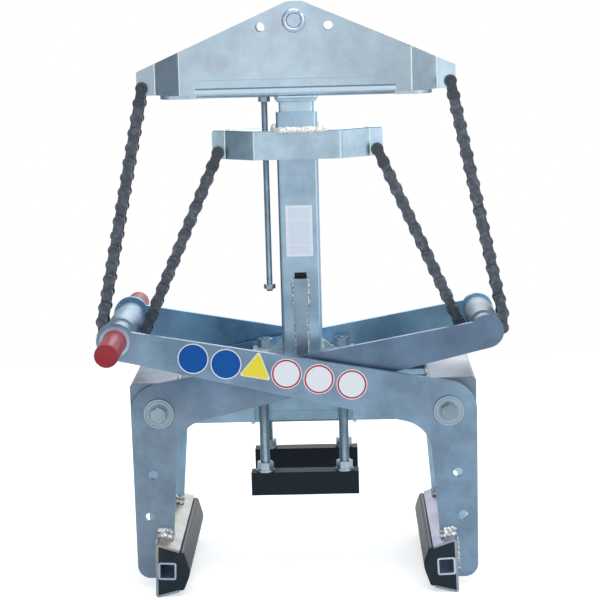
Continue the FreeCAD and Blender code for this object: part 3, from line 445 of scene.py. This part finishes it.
foil_blue = paint("foil_blue", (0.004, 0.085, 0.34))
foil_yellow = paint("foil_yellow", (0.80, 0.68, 0.06))
foil_white = paint("foil_white", (0.74, 0.78, 0.84))
foil_red = paint("foil_red", (0.45, 0.03, 0.05))
plate_pale = paint("plate_pale", (0.62, 0.69, 0.79), rough=0.32)
plate_white = paint("plate_white", (0.72, 0.78, 0.86), rough=0.32)

weld_bright = weld_metal("weld_bright", (0.92, 0.94, 0.95), hollow=0.25)
weld_cream = weld_metal("weld_cream", (0.96, 0.95, 0.88), hollow=0.72)


# The frame's pieces: material, width of the rounded edges, names
BIG_EDGE = 0.0012
SMALL_EDGE = 0.0006
SHARP = 0
EDGE_ANGLE = math.radians(28)
EDGE_SEGMENTS = 2
looks = [
    (upper_zinc, SMALL_EDGE, ["upper_traverse_front", "upper_traverse_rear"]),
    (lower_zinc, SMALL_EDGE, ["lower_traverse_front", "lower_traverse_rear"]),
    (sheet_zinc, SMALL_EDGE, ["upper_traverse_base", "inner_tube", "tube_collar"]),
    (web_zinc, SMALL_EDGE, ["lower_traverse_web", "rod_guide"]),
    (lit_top_plate_zinc, SMALL_EDGE, ["centre_top_plate"]),
    (gusset_zinc, SMALL_EDGE, ["column_gussets"]),
    (column_zinc, SMALL_EDGE, ["column_tube"]),
    (cover_zinc, SMALL_EDGE, ["latch_cover"]),
    (lever_zinc, BIG_EDGE, ["right_jaw_lever_front"]),
    (shaded_inner_lever_zinc, BIG_EDGE, ["left_jaw_lever_front"]),
    (lit_rear_lever_zinc, SMALL_EDGE, ["right_jaw_lever_rear", "left_jaw_lever_rear"]),
    (box_zinc, SMALL_EDGE, ["left_end_box", "right_end_box"]),
    (cap_zinc, SMALL_EDGE, ["end_box_caps"]),
    (beam_zinc, SMALL_EDGE, ["left_beams", "right_beams", "centre_side_plates"]),
    (cross_zinc, SMALL_EDGE, ["centre_cross_plates"]),
    (left_jaw_zinc, SMALL_EDGE, ["left_jaw_channel"]),
    (right_jaw_zinc, SMALL_EDGE, ["right_jaw_channel"]),
    (washer_zinc, SHARP, ["left_jaw_rail", "right_jaw_rail"]),
    (shaft_zinc, BIG_EDGE, ["left_lift_shaft", "right_lift_shaft", "left_pivot_shaft",
                            "right_pivot_shaft", "pivot_spacers"]),
    (drum_zinc, BIG_EDGE, ["left_shaft_sleeves", "left_chain_drum"]),
    (shaded_right_drum_zinc, BIG_EDGE, ["right_shaft_sleeves", "right_chain_drum"]),
    (shaft_zinc, SHARP, ["latch_pin"]),
    (ring_zinc, BIG_EDGE, ["pivot_washers"]),
    (washer_zinc, BIG_EDGE, ["left_shaft_washers", "suspension_pin"]),
    (nut_zinc, SMALL_EDGE, ["pad_rod_fixings"]),
    (screw_zinc, SMALL_EDGE, ["pivot_screws"]),
    (bolt_zinc, SMALL_EDGE, ["limit_rod_nuts"]),
    (pad_rod_zinc, SHARP, ["pad_rods"]),
    (limit_rod_zinc, SHARP, ["limit_rod"]),
    (chain_black, SHARP, ["upper_chain_pins", "lower_chain_pins", "left_chain_wrap",
                          "right_chain_wrap"]),
    (latch_shade_black, SHARP, ["latch_pawl"]),
]


def round_edges(piece, edge):
    rounding = piece.modifiers.new("edge", "BEVEL")
    rounding.width = edge
    rounding.segments = EDGE_SEGMENTS
    rounding.limit_method = "ANGLE"
    rounding.angle_limit = EDGE_ANGLE


for material, edge, names in looks:
    for name in names:
        nodes[name].data.materials.clear()
        nodes[name].data.materials.append(material)
        if edge:
            round_edges(nodes[name], edge)


# Mesh helpers
SMOOTH_ANGLE = math.radians(35)


def from_bmesh(name, work, materials):
    """A piece whose faces are smooth except across sharp edges."""
    bmesh.ops.recalc_face_normals(work, faces=work.faces)
    for face in work.faces:
        face.smooth = True
    for edge in work.edges:
        edge.smooth = len(edge.link_faces) == 2 and edge.calc_face_angle() < SMOOTH_ANGLE
    mesh = bpy.data.meshes.new(name)
    work.to_mesh(mesh)
    work.free()
    for material in materials:
        mesh.materials.append(material)
    piece = bpy.data.objects.new(name, mesh)
    scene.collection.objects.link(piece)
    return piece


def box_of(name):
    low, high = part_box(name)
    return Vector(low), Vector(high)


def middle(name):
    low, high = box_of(name)
    return (low + high) / 2


def add_ring(work, places):
    return [work.verts.new(place) for place in places]


def join_rings(work, rings, capped=True):
    """Skins a run of rings; the face over each end has its own corners, so that it shades flat."""
    for first, second in zip(rings[:-1], rings[1:]):
        for index in range(len(first)):
            following = (index + 1) % len(first)
            work.faces.new((first[index], first[following], second[following], second[index]))
    if capped:
        for ring in (rings[0], rings[-1]):
            work.faces.new(add_ring(work, [vertex.co for vertex in ring]))


# Rubber pieces
LOOP_STEP = 0.005
LENGTH_STEP = 0.010
END_ROUNDING = 0.0012
ROUNDING_STEPS = 3
MOULD_WAVE = 0.0004
WAVE_SIZE = 22
INSIDE_ONLY = 1
SAME_PLACE = 1e-6
ON_END = 1e-5
FILL_LIMIT = 1e-7
HELD_NOWHERE = 1.0


def end_face_loop(name, axis):
    """The outline of a node's end face: its places across the axis, in order."""
    work = bmesh.new()
    work.from_mesh(nodes[name].data)
    bmesh.ops.remove_doubles(work, verts=work.verts, dist=SAME_PLACE)
    end = min(vertex.co[axis] for vertex in work.verts)
    on_end = {face for face in work.faces
              if all(abs(vertex.co[axis] - end) < ON_END for vertex in face.verts)}
    rim = [edge for edge in work.edges if sum(face in on_end for face in edge.link_faces) == 1]
    beside = {}
    for edge in rim:
        for vertex in edge.verts:
            beside.setdefault(vertex, []).append(edge.other_vert(vertex))
    start = next(iter(beside))
    loop = [start]
    previous = None
    while True:
        following = [vertex for vertex in beside[loop[-1]] if vertex is not previous]
        previous = loop[-1]
        if following[0] is start:
            break
        loop.append(following[0])
    across = [index for index in range(3) if index != axis]
    places = [Vector((vertex.co[across[0]], vertex.co[across[1]])) for vertex in loop]
    work.free()
    return places


def split_loop(loop):
    """The same loop with places no further apart than the step."""
    places = []
    for start, end in zip(loop, loop[1:] + loop[:1]):
        count = max(1, math.ceil((end - start).length / LOOP_STEP))
        places += [start.lerp(end, index / count) for index in range(count)]
    return places


def inward_normals(loop):
    area = sum(here.x * there.y - there.x * here.y for here, there in zip(loop, loop[1:] + loop[:1]))
    turn = 1 if area > 0 else -1
    normals = []
    for before, after in zip(loop[-1:] + loop[:-1], loop[1:] + loop[:1]):
        run = (after - before).normalized()
        normals.append(Vector((-run.y, run.x)) * turn)
    return normals


def fill_outline(work, corners, across):
    """Fills a flat outline, which may be hollow to one side, with triangles of their own corners."""
    flat = [Vector((corner[across[0]], corner[across[1]])) for corner in corners]
    filled = delaunay_2d_cdt(flat, [], [list(range(len(flat)))], INSIDE_ONLY, FILL_LIMIT)
    triangles, sources = filled[2], filled[3]
    ring = add_ring(work, [corners[source[0]] for source in sources])
    for triangle in triangles:
        work.faces.new([ring[index] for index in triangle])


def moulding_stations(start, end):
    """Places along a moulding with how far its section draws in there, round at both ends."""
    stations = []
    for step in range(ROUNDING_STEPS + 1):
        angle = math.pi / 2 * (1 - step / ROUNDING_STEPS)
        stations.append((start + END_ROUNDING * (1 - math.sin(angle)),
                         END_ROUNDING * (1 - math.cos(angle))))
    far_end = [(start + end - place, inset) for place, inset in reversed(stations)]
    straight = end - start - 2 * END_ROUNDING
    count = round(straight / LENGTH_STEP)
    for index in range(1, count):
        stations.append((start + END_ROUNDING + straight * index / count, 0))
    return stations + far_end


def moulding(name, node, axis, material, body, held_from=HELD_NOWHERE):
    """A rubber moulding with the node's section, rounded ends and slightly uneven faces.

    Places further out than held_from lie against steel and stay where they are.
    """
    loop = split_loop(end_face_loop(node, axis))
    normals = inward_normals(loop)
    low, high = box_of(node)
    across = [index for index in range(3) if index != axis]
    work = bmesh.new()
    rings = []
    for along, inset in moulding_stations(low[axis], high[axis]):
        places = []
        for place, normal in zip(loop, normals):
            spot = Vector((along, place.x, place.y)) * WAVE_SIZE
            wave = MOULD_WAVE * (0.5 + 0.5 * mathutils.noise.noise(spot))
            point = Vector((0, 0, 0))
            point[axis] = along
            moved = place + normal * (0 if abs(place.x) > held_from else inset + wave)
            point[across[0]], point[across[1]] = moved.x, moved.y
            places.append(point)
        rings.append(add_ring(work, places))
    join_rings(work, rings, False)
    for ring in (rings[0], rings[-1]):
        fill_outline(work, [vertex.co.copy() for vertex in ring], across)
    piece = from_bmesh(name, work, [material])
    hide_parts(node)
    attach(piece, body)


RAIL_REST = 0.001
for side in ("right", "left"):
    rail_near = min(abs(corner.x) for corner in box_of(side + "_jaw_rail"))
    moulding(side + "_jaw_rubber_face", side + "_jaw_rubber", 1, jaw_black, side + "_jaw_lever",
             rail_near - RAIL_REST)
moulding("front_pad_block", "front_pad", 0, pad_black, "frame")
moulding("rear_pad_block", "rear_pad", 0, pad_black, "frame")


# Hand grips
GRIP_SIDES = 48
GRIP_BORE = 0.0153
LIP_LENGTH = 0.006
LIP_HEIGHT = 0.0006
GRIP_ROUNDING = 0.0025
GRIP_STEPS = 4
END_RING_SHARE = 0.78
END_RING_DEPTH = 0.0004


def grip_profile(length, radius):
    """Places along a grip from its washer and out from its axis."""
    barrel = radius - LIP_HEIGHT
    profile = [(0, GRIP_BORE), (0, barrel), (LIP_HEIGHT, radius), (LIP_LENGTH, radius),
               (LIP_LENGTH + LIP_HEIGHT, barrel), (length / 2, barrel)]
    for step in range(GRIP_STEPS + 1):
        angle = math.pi / 2 * step / GRIP_STEPS
        profile.append((length - GRIP_ROUNDING * (1 - math.sin(angle)),
                        barrel - GRIP_ROUNDING * (1 - math.cos(angle))))
    ring = radius * END_RING_SHARE
    profile += [(length, ring + END_RING_DEPTH), (length - END_RING_DEPTH, ring),
                (length - END_RING_DEPTH, ring / 2)]
    return profile


def grips():
    """Both hand grips: a lip at the washer, a plain barrel and a rounded end."""
    work = bmesh.new()
    low, high = box_of("shaft_grips")
    centre = middle("shaft_grips")
    radius = (high.x - low.x) / 2
    washer_end = box_of("left_shaft_washers")[1].y
    turns = [2 * math.pi * corner / GRIP_SIDES for corner in range(GRIP_SIDES)]
    for side in (-1, 1):
        rings = []
        for along, reach in grip_profile(high.y - washer_end, radius):
            y = side * (washer_end + along)
            rings.append(add_ring(work, [(centre.x + reach * math.cos(turn), y,
                                          centre.z + reach * math.sin(turn)) for turn in turns]))
        join_rings(work, rings)
    piece = from_bmesh("hand_grips", work, [grip_red])
    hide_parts("shaft_grips")
    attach(piece, "right_jaw_lever")


grips()


# Weld beads
WELD_SIDES = 12
CIRCLE_STEPS = 40
WELD_STEP_SHARE = 0.30
SWELL_SIZE = 70
SWELL_SHARE = 0.30
RIPPLE_SHARE = 0.05
RIPPLE_TURN = 1.35
END_STEPS = 4
END_SHARE = 0.35
WANDER_SHARE = 0.06
UNEVEN_SHARE = 0.04


def resample(points, step):
    """Places a step apart along a run of points."""
    places = []
    for start, end in zip(points[:-1], points[1:]):
        count = max(1, round((end - start).length / step))
        places += [start.lerp(end, index / count) for index in range(count)]
    return places + [points[-1]]


def weld(name, points, body, radius, seed, rough=1.0, material=weld_bright):
    """A scaly bead along the points, with fine ripples and slow swellings."""
    chance = random.Random(seed)
    points = [Vector(point) for point in points]
    places = resample(points, radius * WELD_STEP_SHARE)
    reaches = [[point[axis] for point in points] for axis in range(3)]
    spans = [max(reach) - min(reach) for reach in reaches]
    across = Vector((0, 0, 0))
    across[spans.index(min(spans))] = 1
    work = bmesh.new()
    rings = []
    for index, place in enumerate(places):
        before = places[max(index - 1, 0)]
        after = places[min(index + 1, len(places) - 1)]
        ahead = (after - before).normalized()
        side = ahead.cross(across).normalized()
        up = ahead.cross(side)
        swelling = SWELL_SHARE * mathutils.noise.noise(place * SWELL_SIZE + Vector((seed, 0, 0)))
        ripple = RIPPLE_SHARE * math.sin(index * RIPPLE_TURN)
        end_share = min(1, min(index, len(places) - 1 - index) / END_STEPS)
        swell = radius * (1 + rough * (ripple + swelling)) * (END_SHARE + (1 - END_SHARE) * end_share)
        wander = side * chance.uniform(-WANDER_SHARE, WANDER_SHARE)
        wander += up * chance.uniform(-WANDER_SHARE, WANDER_SHARE)
        centre = place + wander * radius * rough
        ring = []
        for corner in range(WELD_SIDES):
            turn = 2 * math.pi * corner / WELD_SIDES
            reach = swell * chance.uniform(1 - UNEVEN_SHARE, 1 + UNEVEN_SHARE)
            ring.append(centre + side * math.cos(turn) * reach + up * math.sin(turn) * reach)
        rings.append(add_ring(work, ring))
    join_rings(work, rings)
    piece = from_bmesh(name, work, [material])
    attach(piece, body)


def circle_points(centre, radius, axis):
    """Places round a circle across the axis, from its start round to its start again."""
    side = Vector(axis).orthogonal().normalized()
    other = Vector(axis).cross(side).normalized()
    places = []
    for index in range(CIRCLE_STEPS + 1):
        angle = 2 * math.pi * index / CIRCLE_STEPS
        places.append(Vector(centre) + (side * math.cos(angle) + other * math.sin(angle)) * radius)
    return places


def square_loop(half, z):
    return [(-half, -half, z), (half, -half, z), (half, half, z), (-half, half, z), (-half, -half, z)]


# Weld seams of the frame and the head
column_low, column_high = box_of("column_tube")
column_half = column_high.x
WEB_SEAM_OUT = 0.003
WEB_FRONT_SEAM = ((-column_half, 0.008), (0, 0.009), (column_half + 0.018, 0.006))
COLLAR_SEAM_SHIFT = 0.001
PIN_RING_OUT = 0.0042
COVER_STEP = 0.052
COVER_NARROWING = 0.0025
UPPER_SEAM_END = 0.002
LOWER_SEAM_END = 0.004
BEAM_SEAM_OUT = 0.002
BEAM_SEAM_FOOT = 0.006
BEAM_SEAM_ACROSS = 0.038


def weld_column():
    """The column's foot, and its seam on the lower traverse, which has run out towards the front."""
    web_top = box_of("lower_traverse_web")[1].z
    weld("weld_column_foot", square_loop(column_half, column_low.z), "frame", radius=0.0028, seed=3)
    weld("weld_column_web", square_loop(column_half + WEB_SEAM_OUT, web_top), "frame", radius=0.0068,
         seed=4, material=weld_cream)
    weld("weld_web_front", [(x, -column_half - out, web_top) for x, out in WEB_FRONT_SEAM], "frame",
         radius=0.0042, seed=7, rough=1.6, material=weld_cream)


def weld_collar():
    """The collar's two smooth seams, in the same zinc as the collar."""
    low, high = box_of("tube_collar")
    tube_half = box_of("inner_tube")[1].x
    weld("weld_collar_top", square_loop(column_half - COLLAR_SEAM_SHIFT, high.z - COLLAR_SEAM_SHIFT),
         "head", radius=0.0030, seed=5, rough=0.3, material=sheet_zinc)
    weld("weld_collar_foot", square_loop(tube_half + COLLAR_SEAM_SHIFT, low.z), "head", radius=0.0026,
         seed=6, rough=0.3, material=sheet_zinc)


def weld_pin():
    """The ring round each end of the suspension pin."""
    pin_z = middle("suspension_pin").z
    ring_radius = box_of("suspension_pin")[1].x + PIN_RING_OUT
    face_front = box_of("upper_traverse_front")[0].y
    for index, y in enumerate((face_front, -face_front)):
        weld("weld_pin_" + str(index), circle_points((0, y, pin_z), ring_radius, (0, 1, 0)), "head",
             radius=0.0046, seed=10 + index, rough=0.2, material=washer_zinc)


def weld_cover():
    """The seams down both sides of the cover, which is wider above its step."""
    low, high = box_of("latch_cover")
    step_z = high.z - COVER_STEP
    upper_heights = (high.z - UPPER_SEAM_END, step_z + UPPER_SEAM_END)
    lower_heights = (step_z - LOWER_SEAM_END, low.z + LOWER_SEAM_END)
    for index, sign in enumerate((-1, 1)):
        weld("weld_cover_upper_" + str(index), [(sign * high.x, -column_half, z) for z in upper_heights],
             "frame", radius=0.0040, seed=20 + index)
        lower_x = sign * (high.x - COVER_NARROWING)
        weld("weld_cover_lower_" + str(index), [(lower_x, -column_half, z) for z in lower_heights],
             "frame", radius=0.0028, seed=24 + index)


def weld_gussets():
    high = box_of("column_gussets")[1]
    for index, sign in enumerate((-1, 1)):
        weld("weld_gusset_" + str(index),
             [(sign * high.x, -high.y, column_low.z), (sign * column_half, -high.y, column_low.z),
              (sign * column_half, -high.y, high.z)], "frame", radius=0.0032, seed=30 + index)


def weld_beams():
    """Seams where a beam meets its end box: up its outer face, then across its top."""
    low, high = box_of("right_beams")
    for number, (sign, depth) in enumerate(((-1, -1), (1, -1), (-1, 1), (1, 1))):
        x = sign * high.x
        y = depth * (high.y + BEAM_SEAM_OUT)
        weld("weld_beam_" + str(number),
             [(x, y, low.z + BEAM_SEAM_FOOT), (x, y, high.z), (x, y - depth * BEAM_SEAM_ACROSS, high.z)],
             "frame", radius=0.0034, seed=34 + number, rough=1.2)


weld_column()
weld_collar()
weld_pin()
weld_cover()
weld_gussets()
weld_beams()


# Weld seams between a lever's plates and its jaw: along the top flange, then down the back wall
JAW_SEAM = ((0.224, 0.0880), (0.240, 0.0930), (0.253, 0.0935))
JAW_PASSES = ((0.0015, 0.0000, 0.0062), (0.0005, 0.0075, 0.0048), (0.0080, 0.0005, 0.0045))
JAW_BACK_SEAM = ((0.2535, 0.0860), (0.2555, 0.0270))


def weld_jaw(lever, sign):
    """The seams at each face of the lever's two plates; each pass is an out, an up and a radius."""
    rear_low, rear_high = box_of(lever + "_rear")
    near, far = rear_low.y, rear_high.y
    for index, y in enumerate((-far, -near, near, far)):
        outward = 1 if abs(y) == far else -1
        for number, (out, up, radius) in enumerate(JAW_PASSES):
            seam_y = y + math.copysign(out, y) * outward
            weld("weld_" + lever + "_flange_" + str(index) + "_" + str(number),
                 [(sign * x, seam_y, z + up) for x, z in JAW_SEAM], lever, radius,
                 seed=40 + 4 * index + number, rough=1.4)
        weld("weld_" + lever + "_back_" + str(index), [(sign * x, y, z) for x, z in JAW_BACK_SEAM],
             lever, radius=0.0030, seed=50 + index, rough=0.4)


weld_jaw("right_jaw_lever", 1)
weld_jaw("left_jaw_lever", -1)


# Foils on the front lever plate
FOIL_THICKNESS = 0.0004
FOIL_ROW_START = Vector((-0.1787, 0.4016))
FOIL_ROW_TURN = math.radians(-10.7)
FOIL_RADIUS = 0.0255
BLUE_RIM = 0.0016
RING_RIM = 0.0014
RING_INSIDE = 0.0042
DISC_TURN_STEP = 6
BLUE_PLACES = (0.0, 0.0549)
RING_PLACES = (0.1560, 0.2102, 0.2652)
TRIANGLE_PLACE = 0.1055
TRIANGLE_REACH = 0.031
TRIANGLE_RIM = 0.003
TRIANGLE_CORNER = 0.003
CORNER_TURNS = range(-60, 61, 20)


def foil(name, outline_at, zones, y, body):
    """A thin foil whose zones lie inside each other; each zone is a reach and a material."""
    work = bmesh.new()
    reaches = [zones[0][0]] + [reach for reach, material in zones]
    rings = []
    for index, reach in enumerate(reaches):
        depth = 0 if index == 0 else FOIL_THICKNESS
        rings.append(add_ring(work, [(x, y - depth, z) for x, z in outline_at(reach)]))
    join_rings(work, rings[:2], False)
    materials = [material for reach, material in zones]
    for zone, (first, second) in enumerate(zip(rings[1:-1], rings[2:])):
        before = set(work.faces)
        join_rings(work, [first, second], False)
        for face in set(work.faces) - before:
            face.material_index = zone
    work.faces.new(rings[-1]).material_index = len(zones) - 1
    piece = from_bmesh(name, work, materials)
    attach(piece, body)


def row_place(distance):
    return FOIL_ROW_START + Vector((math.cos(FOIL_ROW_TURN), math.sin(FOIL_ROW_TURN))) * distance


def disc_outline(centre):
    """A circle round a place, with its reach as radius."""
    def at(reach):
        turns = [math.radians(turn) for turn in range(0, 360, DISC_TURN_STEP)]
        return [(centre.x + reach * math.cos(turn), centre.y + reach * math.sin(turn)) for turn in turns]
    return at


def triangle_outline(centre):
    """A triangle with rounded corners, along the row."""
    def at(reach):
        places = []
        for corner in range(3):
            out = math.radians(90 + 120 * corner) + FOIL_ROW_TURN
            corner_x = centre.x + (reach - 2 * TRIANGLE_CORNER) * math.cos(out)
            corner_z = centre.y + (reach - 2 * TRIANGLE_CORNER) * math.sin(out)
            for turn in CORNER_TURNS:
                angle = out + math.radians(turn)
                places.append((corner_x + TRIANGLE_CORNER * math.cos(angle),
                               corner_z + TRIANGLE_CORNER * math.sin(angle)))
        return places
    return at


def lever_foils():
    """Two blue discs, three white discs with a red ring, and a yellow triangle between them."""
    face = box_of("right_jaw_lever_front")[0].y
    blue_zones = [(FOIL_RADIUS, foil_white), (FOIL_RADIUS - BLUE_RIM, foil_blue)]
    ring_zones = [(FOIL_RADIUS, foil_white), (FOIL_RADIUS - RING_RIM, foil_red),
                  (FOIL_RADIUS - RING_INSIDE, foil_white)]
    for kind, places, zones in (("blue", BLUE_PLACES, blue_zones), ("ring", RING_PLACES, ring_zones)):
        for number, distance in enumerate(places, 1):
            foil("foil_" + kind + "_" + str(number), disc_outline(row_place(distance)), zones, face,
                 "right_jaw_lever")
    foil("foil_triangle", triangle_outline(row_place(TRIANGLE_PLACE)),
         [(TRIANGLE_REACH, foil_white), (TRIANGLE_REACH - TRIANGLE_RIM, foil_yellow)], face,
         "right_jaw_lever")


lever_foils()


# Blank type plate on the column: zones from its edge inwards, then thin lines across it
PLATE_HALF_WIDTH = 0.0222
PLATE_LOW = 0.5545
PLATE_HIGH = 0.6405
PLATE_ZONES = ((0, plate_white), (0.0022, plate_pale), (0.0030, plate_white), (0.0042, plate_pale))
PLATE_LINE_Z = (0.6150, 0.5730)
PLATE_LINE_INSET = 0.0045
PLATE_LINE_HALF = 0.0008


def plate_outline(reach):
    """The type plate's outline, drawn in from its edge."""
    inset = PLATE_HALF_WIDTH - reach
    return [(-reach, PLATE_LOW + inset), (reach, PLATE_LOW + inset), (reach, PLATE_HIGH - inset),
            (-reach, PLATE_HIGH - inset)]


def line_outline(z):
    """A thin line across the plate at a height."""
    low, high = z - PLATE_LINE_HALF, z + PLATE_LINE_HALF

    def at(reach):
        return [(-reach, low), (reach, low), (reach, high), (-reach, high)]
    return at


foil("type_plate", plate_outline, [(PLATE_HALF_WIDTH - inset, material) for inset, material in PLATE_ZONES],
     -column_half, "frame")
for index, line_z in enumerate(PLATE_LINE_Z):
    foil("type_plate_line_" + str(index), line_outline(line_z),
         [(PLATE_HALF_WIDTH - PLATE_LINE_INSET, plate_white)], -column_half - FOIL_THICKNESS, "frame")


# Chains
LINK_EDGE = 0.0005


def strand(name, node):
    """A chain strand copied from its node, with rounded edges; it stands for the links of the frame."""
    mesh = nodes[node].data.copy()
    piece = bpy.data.objects.new(name, mesh)
    scene.collection.objects.link(piece)
    mesh.materials.clear()
    mesh.materials.append(chain_black)
    round_edges(piece, LINK_EDGE)
    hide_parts(node)
    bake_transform(piece)


def chain(side):
    """Both strands of one chain: from the head to its wrap, and from the frame to the lever."""
    strand(side + "_outer_strand", side + "_chain_outer")
    strand(side + "_inner_strand", side + "_chain_inner")


chain("right")
chain("left")


# Camera as in the photograph
PHOTO_WIDTH = 600
FOCAL_PIXELS = 1639.6
SENSOR = 36
CAMERA_PLACE = Vector((0.0633, -2.7477, 1.0035))
CAMERA_RIGHT = Vector((0.99947, 0.0189, -0.0265))
CAMERA_UP = Vector((0.02244, 0.18993, 0.98154))
CAMERA_BACK = Vector((0.02359, -0.98162, 0.18941))


def build_camera():
    data = bpy.data.cameras.new("camera")
    data.sensor_width = SENSOR
    data.lens = SENSOR * FOCAL_PIXELS / PHOTO_WIDTH
    camera = bpy.data.objects.new("camera", data)
    scene.collection.objects.link(camera)
    turn = Matrix((CAMERA_RIGHT, CAMERA_UP, CAMERA_BACK)).transposed().to_4x4()
    camera.matrix_world = Matrix.Translation(CAMERA_PLACE) @ turn
    scene.camera = camera


# Floor, lamps and world
FLOOR_HALF = 1.6
FLOOR_GREY = (0.80, 0.80, 0.80, 1)
FLOOR_GLOW = (0.55, 0.55, 0.55)
BLACK = (0, 0, 0)
WHITE = (1, 1, 1)
ROOM_GREY = (0.60, 0.63, 0.66)
ROOM_SIDES = [(0.0, (0.16, 0.20, 0.24)), (0.25, (0.45, 0.49, 0.53)), (0.48, (0.95, 0.96, 0.97)),
              (0.75, (0.85, 0.86, 0.87)), (1.0, (0.62, 0.64, 0.66))]


def build_floor():
    """A pale floor that holds the shadow and is white to the camera."""
    work = bmesh.new()
    corners = [(-FLOOR_HALF, -FLOOR_HALF, 0), (FLOOR_HALF, -FLOOR_HALF, 0), (FLOOR_HALF, FLOOR_HALF, 0),
               (-FLOOR_HALF, FLOOR_HALF, 0)]
    work.faces.new(add_ring(work, corners))
    material, tree, shader = new_material("floor_pale")
    shader.inputs["Base Color"].default_value = FLOOR_GREY
    shader.inputs["Roughness"].default_value = 1.0
    shader.inputs["Specular IOR Level"].default_value = 0
    path = tree.nodes.new("ShaderNodeLightPath")
    glow = mix(tree, path.outputs["Is Camera Ray"], BLACK, FLOOR_GLOW)
    tree.links.new(glow, shader.inputs["Emission Color"])
    shader.inputs["Emission Strength"].default_value = 1.0
    from_bmesh("floor", work, [material])


def build_world():
    """White for the camera; reflections see it darker on the left, as in the photograph."""
    world = bpy.data.worlds.new("studio")
    scene.world = world
    world.use_nodes = True
    tree = world.node_tree
    background = tree.nodes["Background"]
    direction = tree.nodes.new("ShaderNodeTexCoord")
    split = tree.nodes.new("ShaderNodeSeparateXYZ")
    tree.links.new(direction.outputs["Generated"], split.inputs["Vector"])
    sides = ramp(tree, stretched(tree, split.outputs["X"], 0.5, 0.5), ROOM_SIDES)
    path = tree.nodes.new("ShaderNodeLightPath")
    seen = mix(tree, path.outputs["Is Glossy Ray"], ROOM_GREY, sides)
    seen = mix(tree, path.outputs["Is Camera Ray"], seen, WHITE)
    tree.links.new(seen, background.inputs["Color"])
    background.inputs["Strength"].default_value = 1.0


def lamp(name, place, target, size, power):
    data = bpy.data.lights.new(name, "AREA")
    data.shape = "RECTANGLE"
    data.size, data.size_y = size
    data.energy = power
    light = bpy.data.objects.new(name, data)
    light.location = place
    direction = Vector(target) - Vector(place)
    light.rotation_euler = direction.to_track_quat("-Z", "Y").to_euler()
    scene.collection.objects.link(light)


build_camera()
build_floor()
build_world()
lamp("top", (0.2, -0.6, 2.8), (0, 0, 0.4), size=(2.4, 2.4), power=34)
lamp("front_right", (2.2, -2.6, 1.6), (0, 0, 0.5), size=(1.6, 2.2), power=22)
lamp("front_left", (-2.4, -2.2, 1.2), (0, 0, 0.5), size=(1.2, 1.8), power=8)
lamp("back", (0.4, 2.6, 1.8), (0, 0, 0.5), size=(2.0, 1.6), power=16)
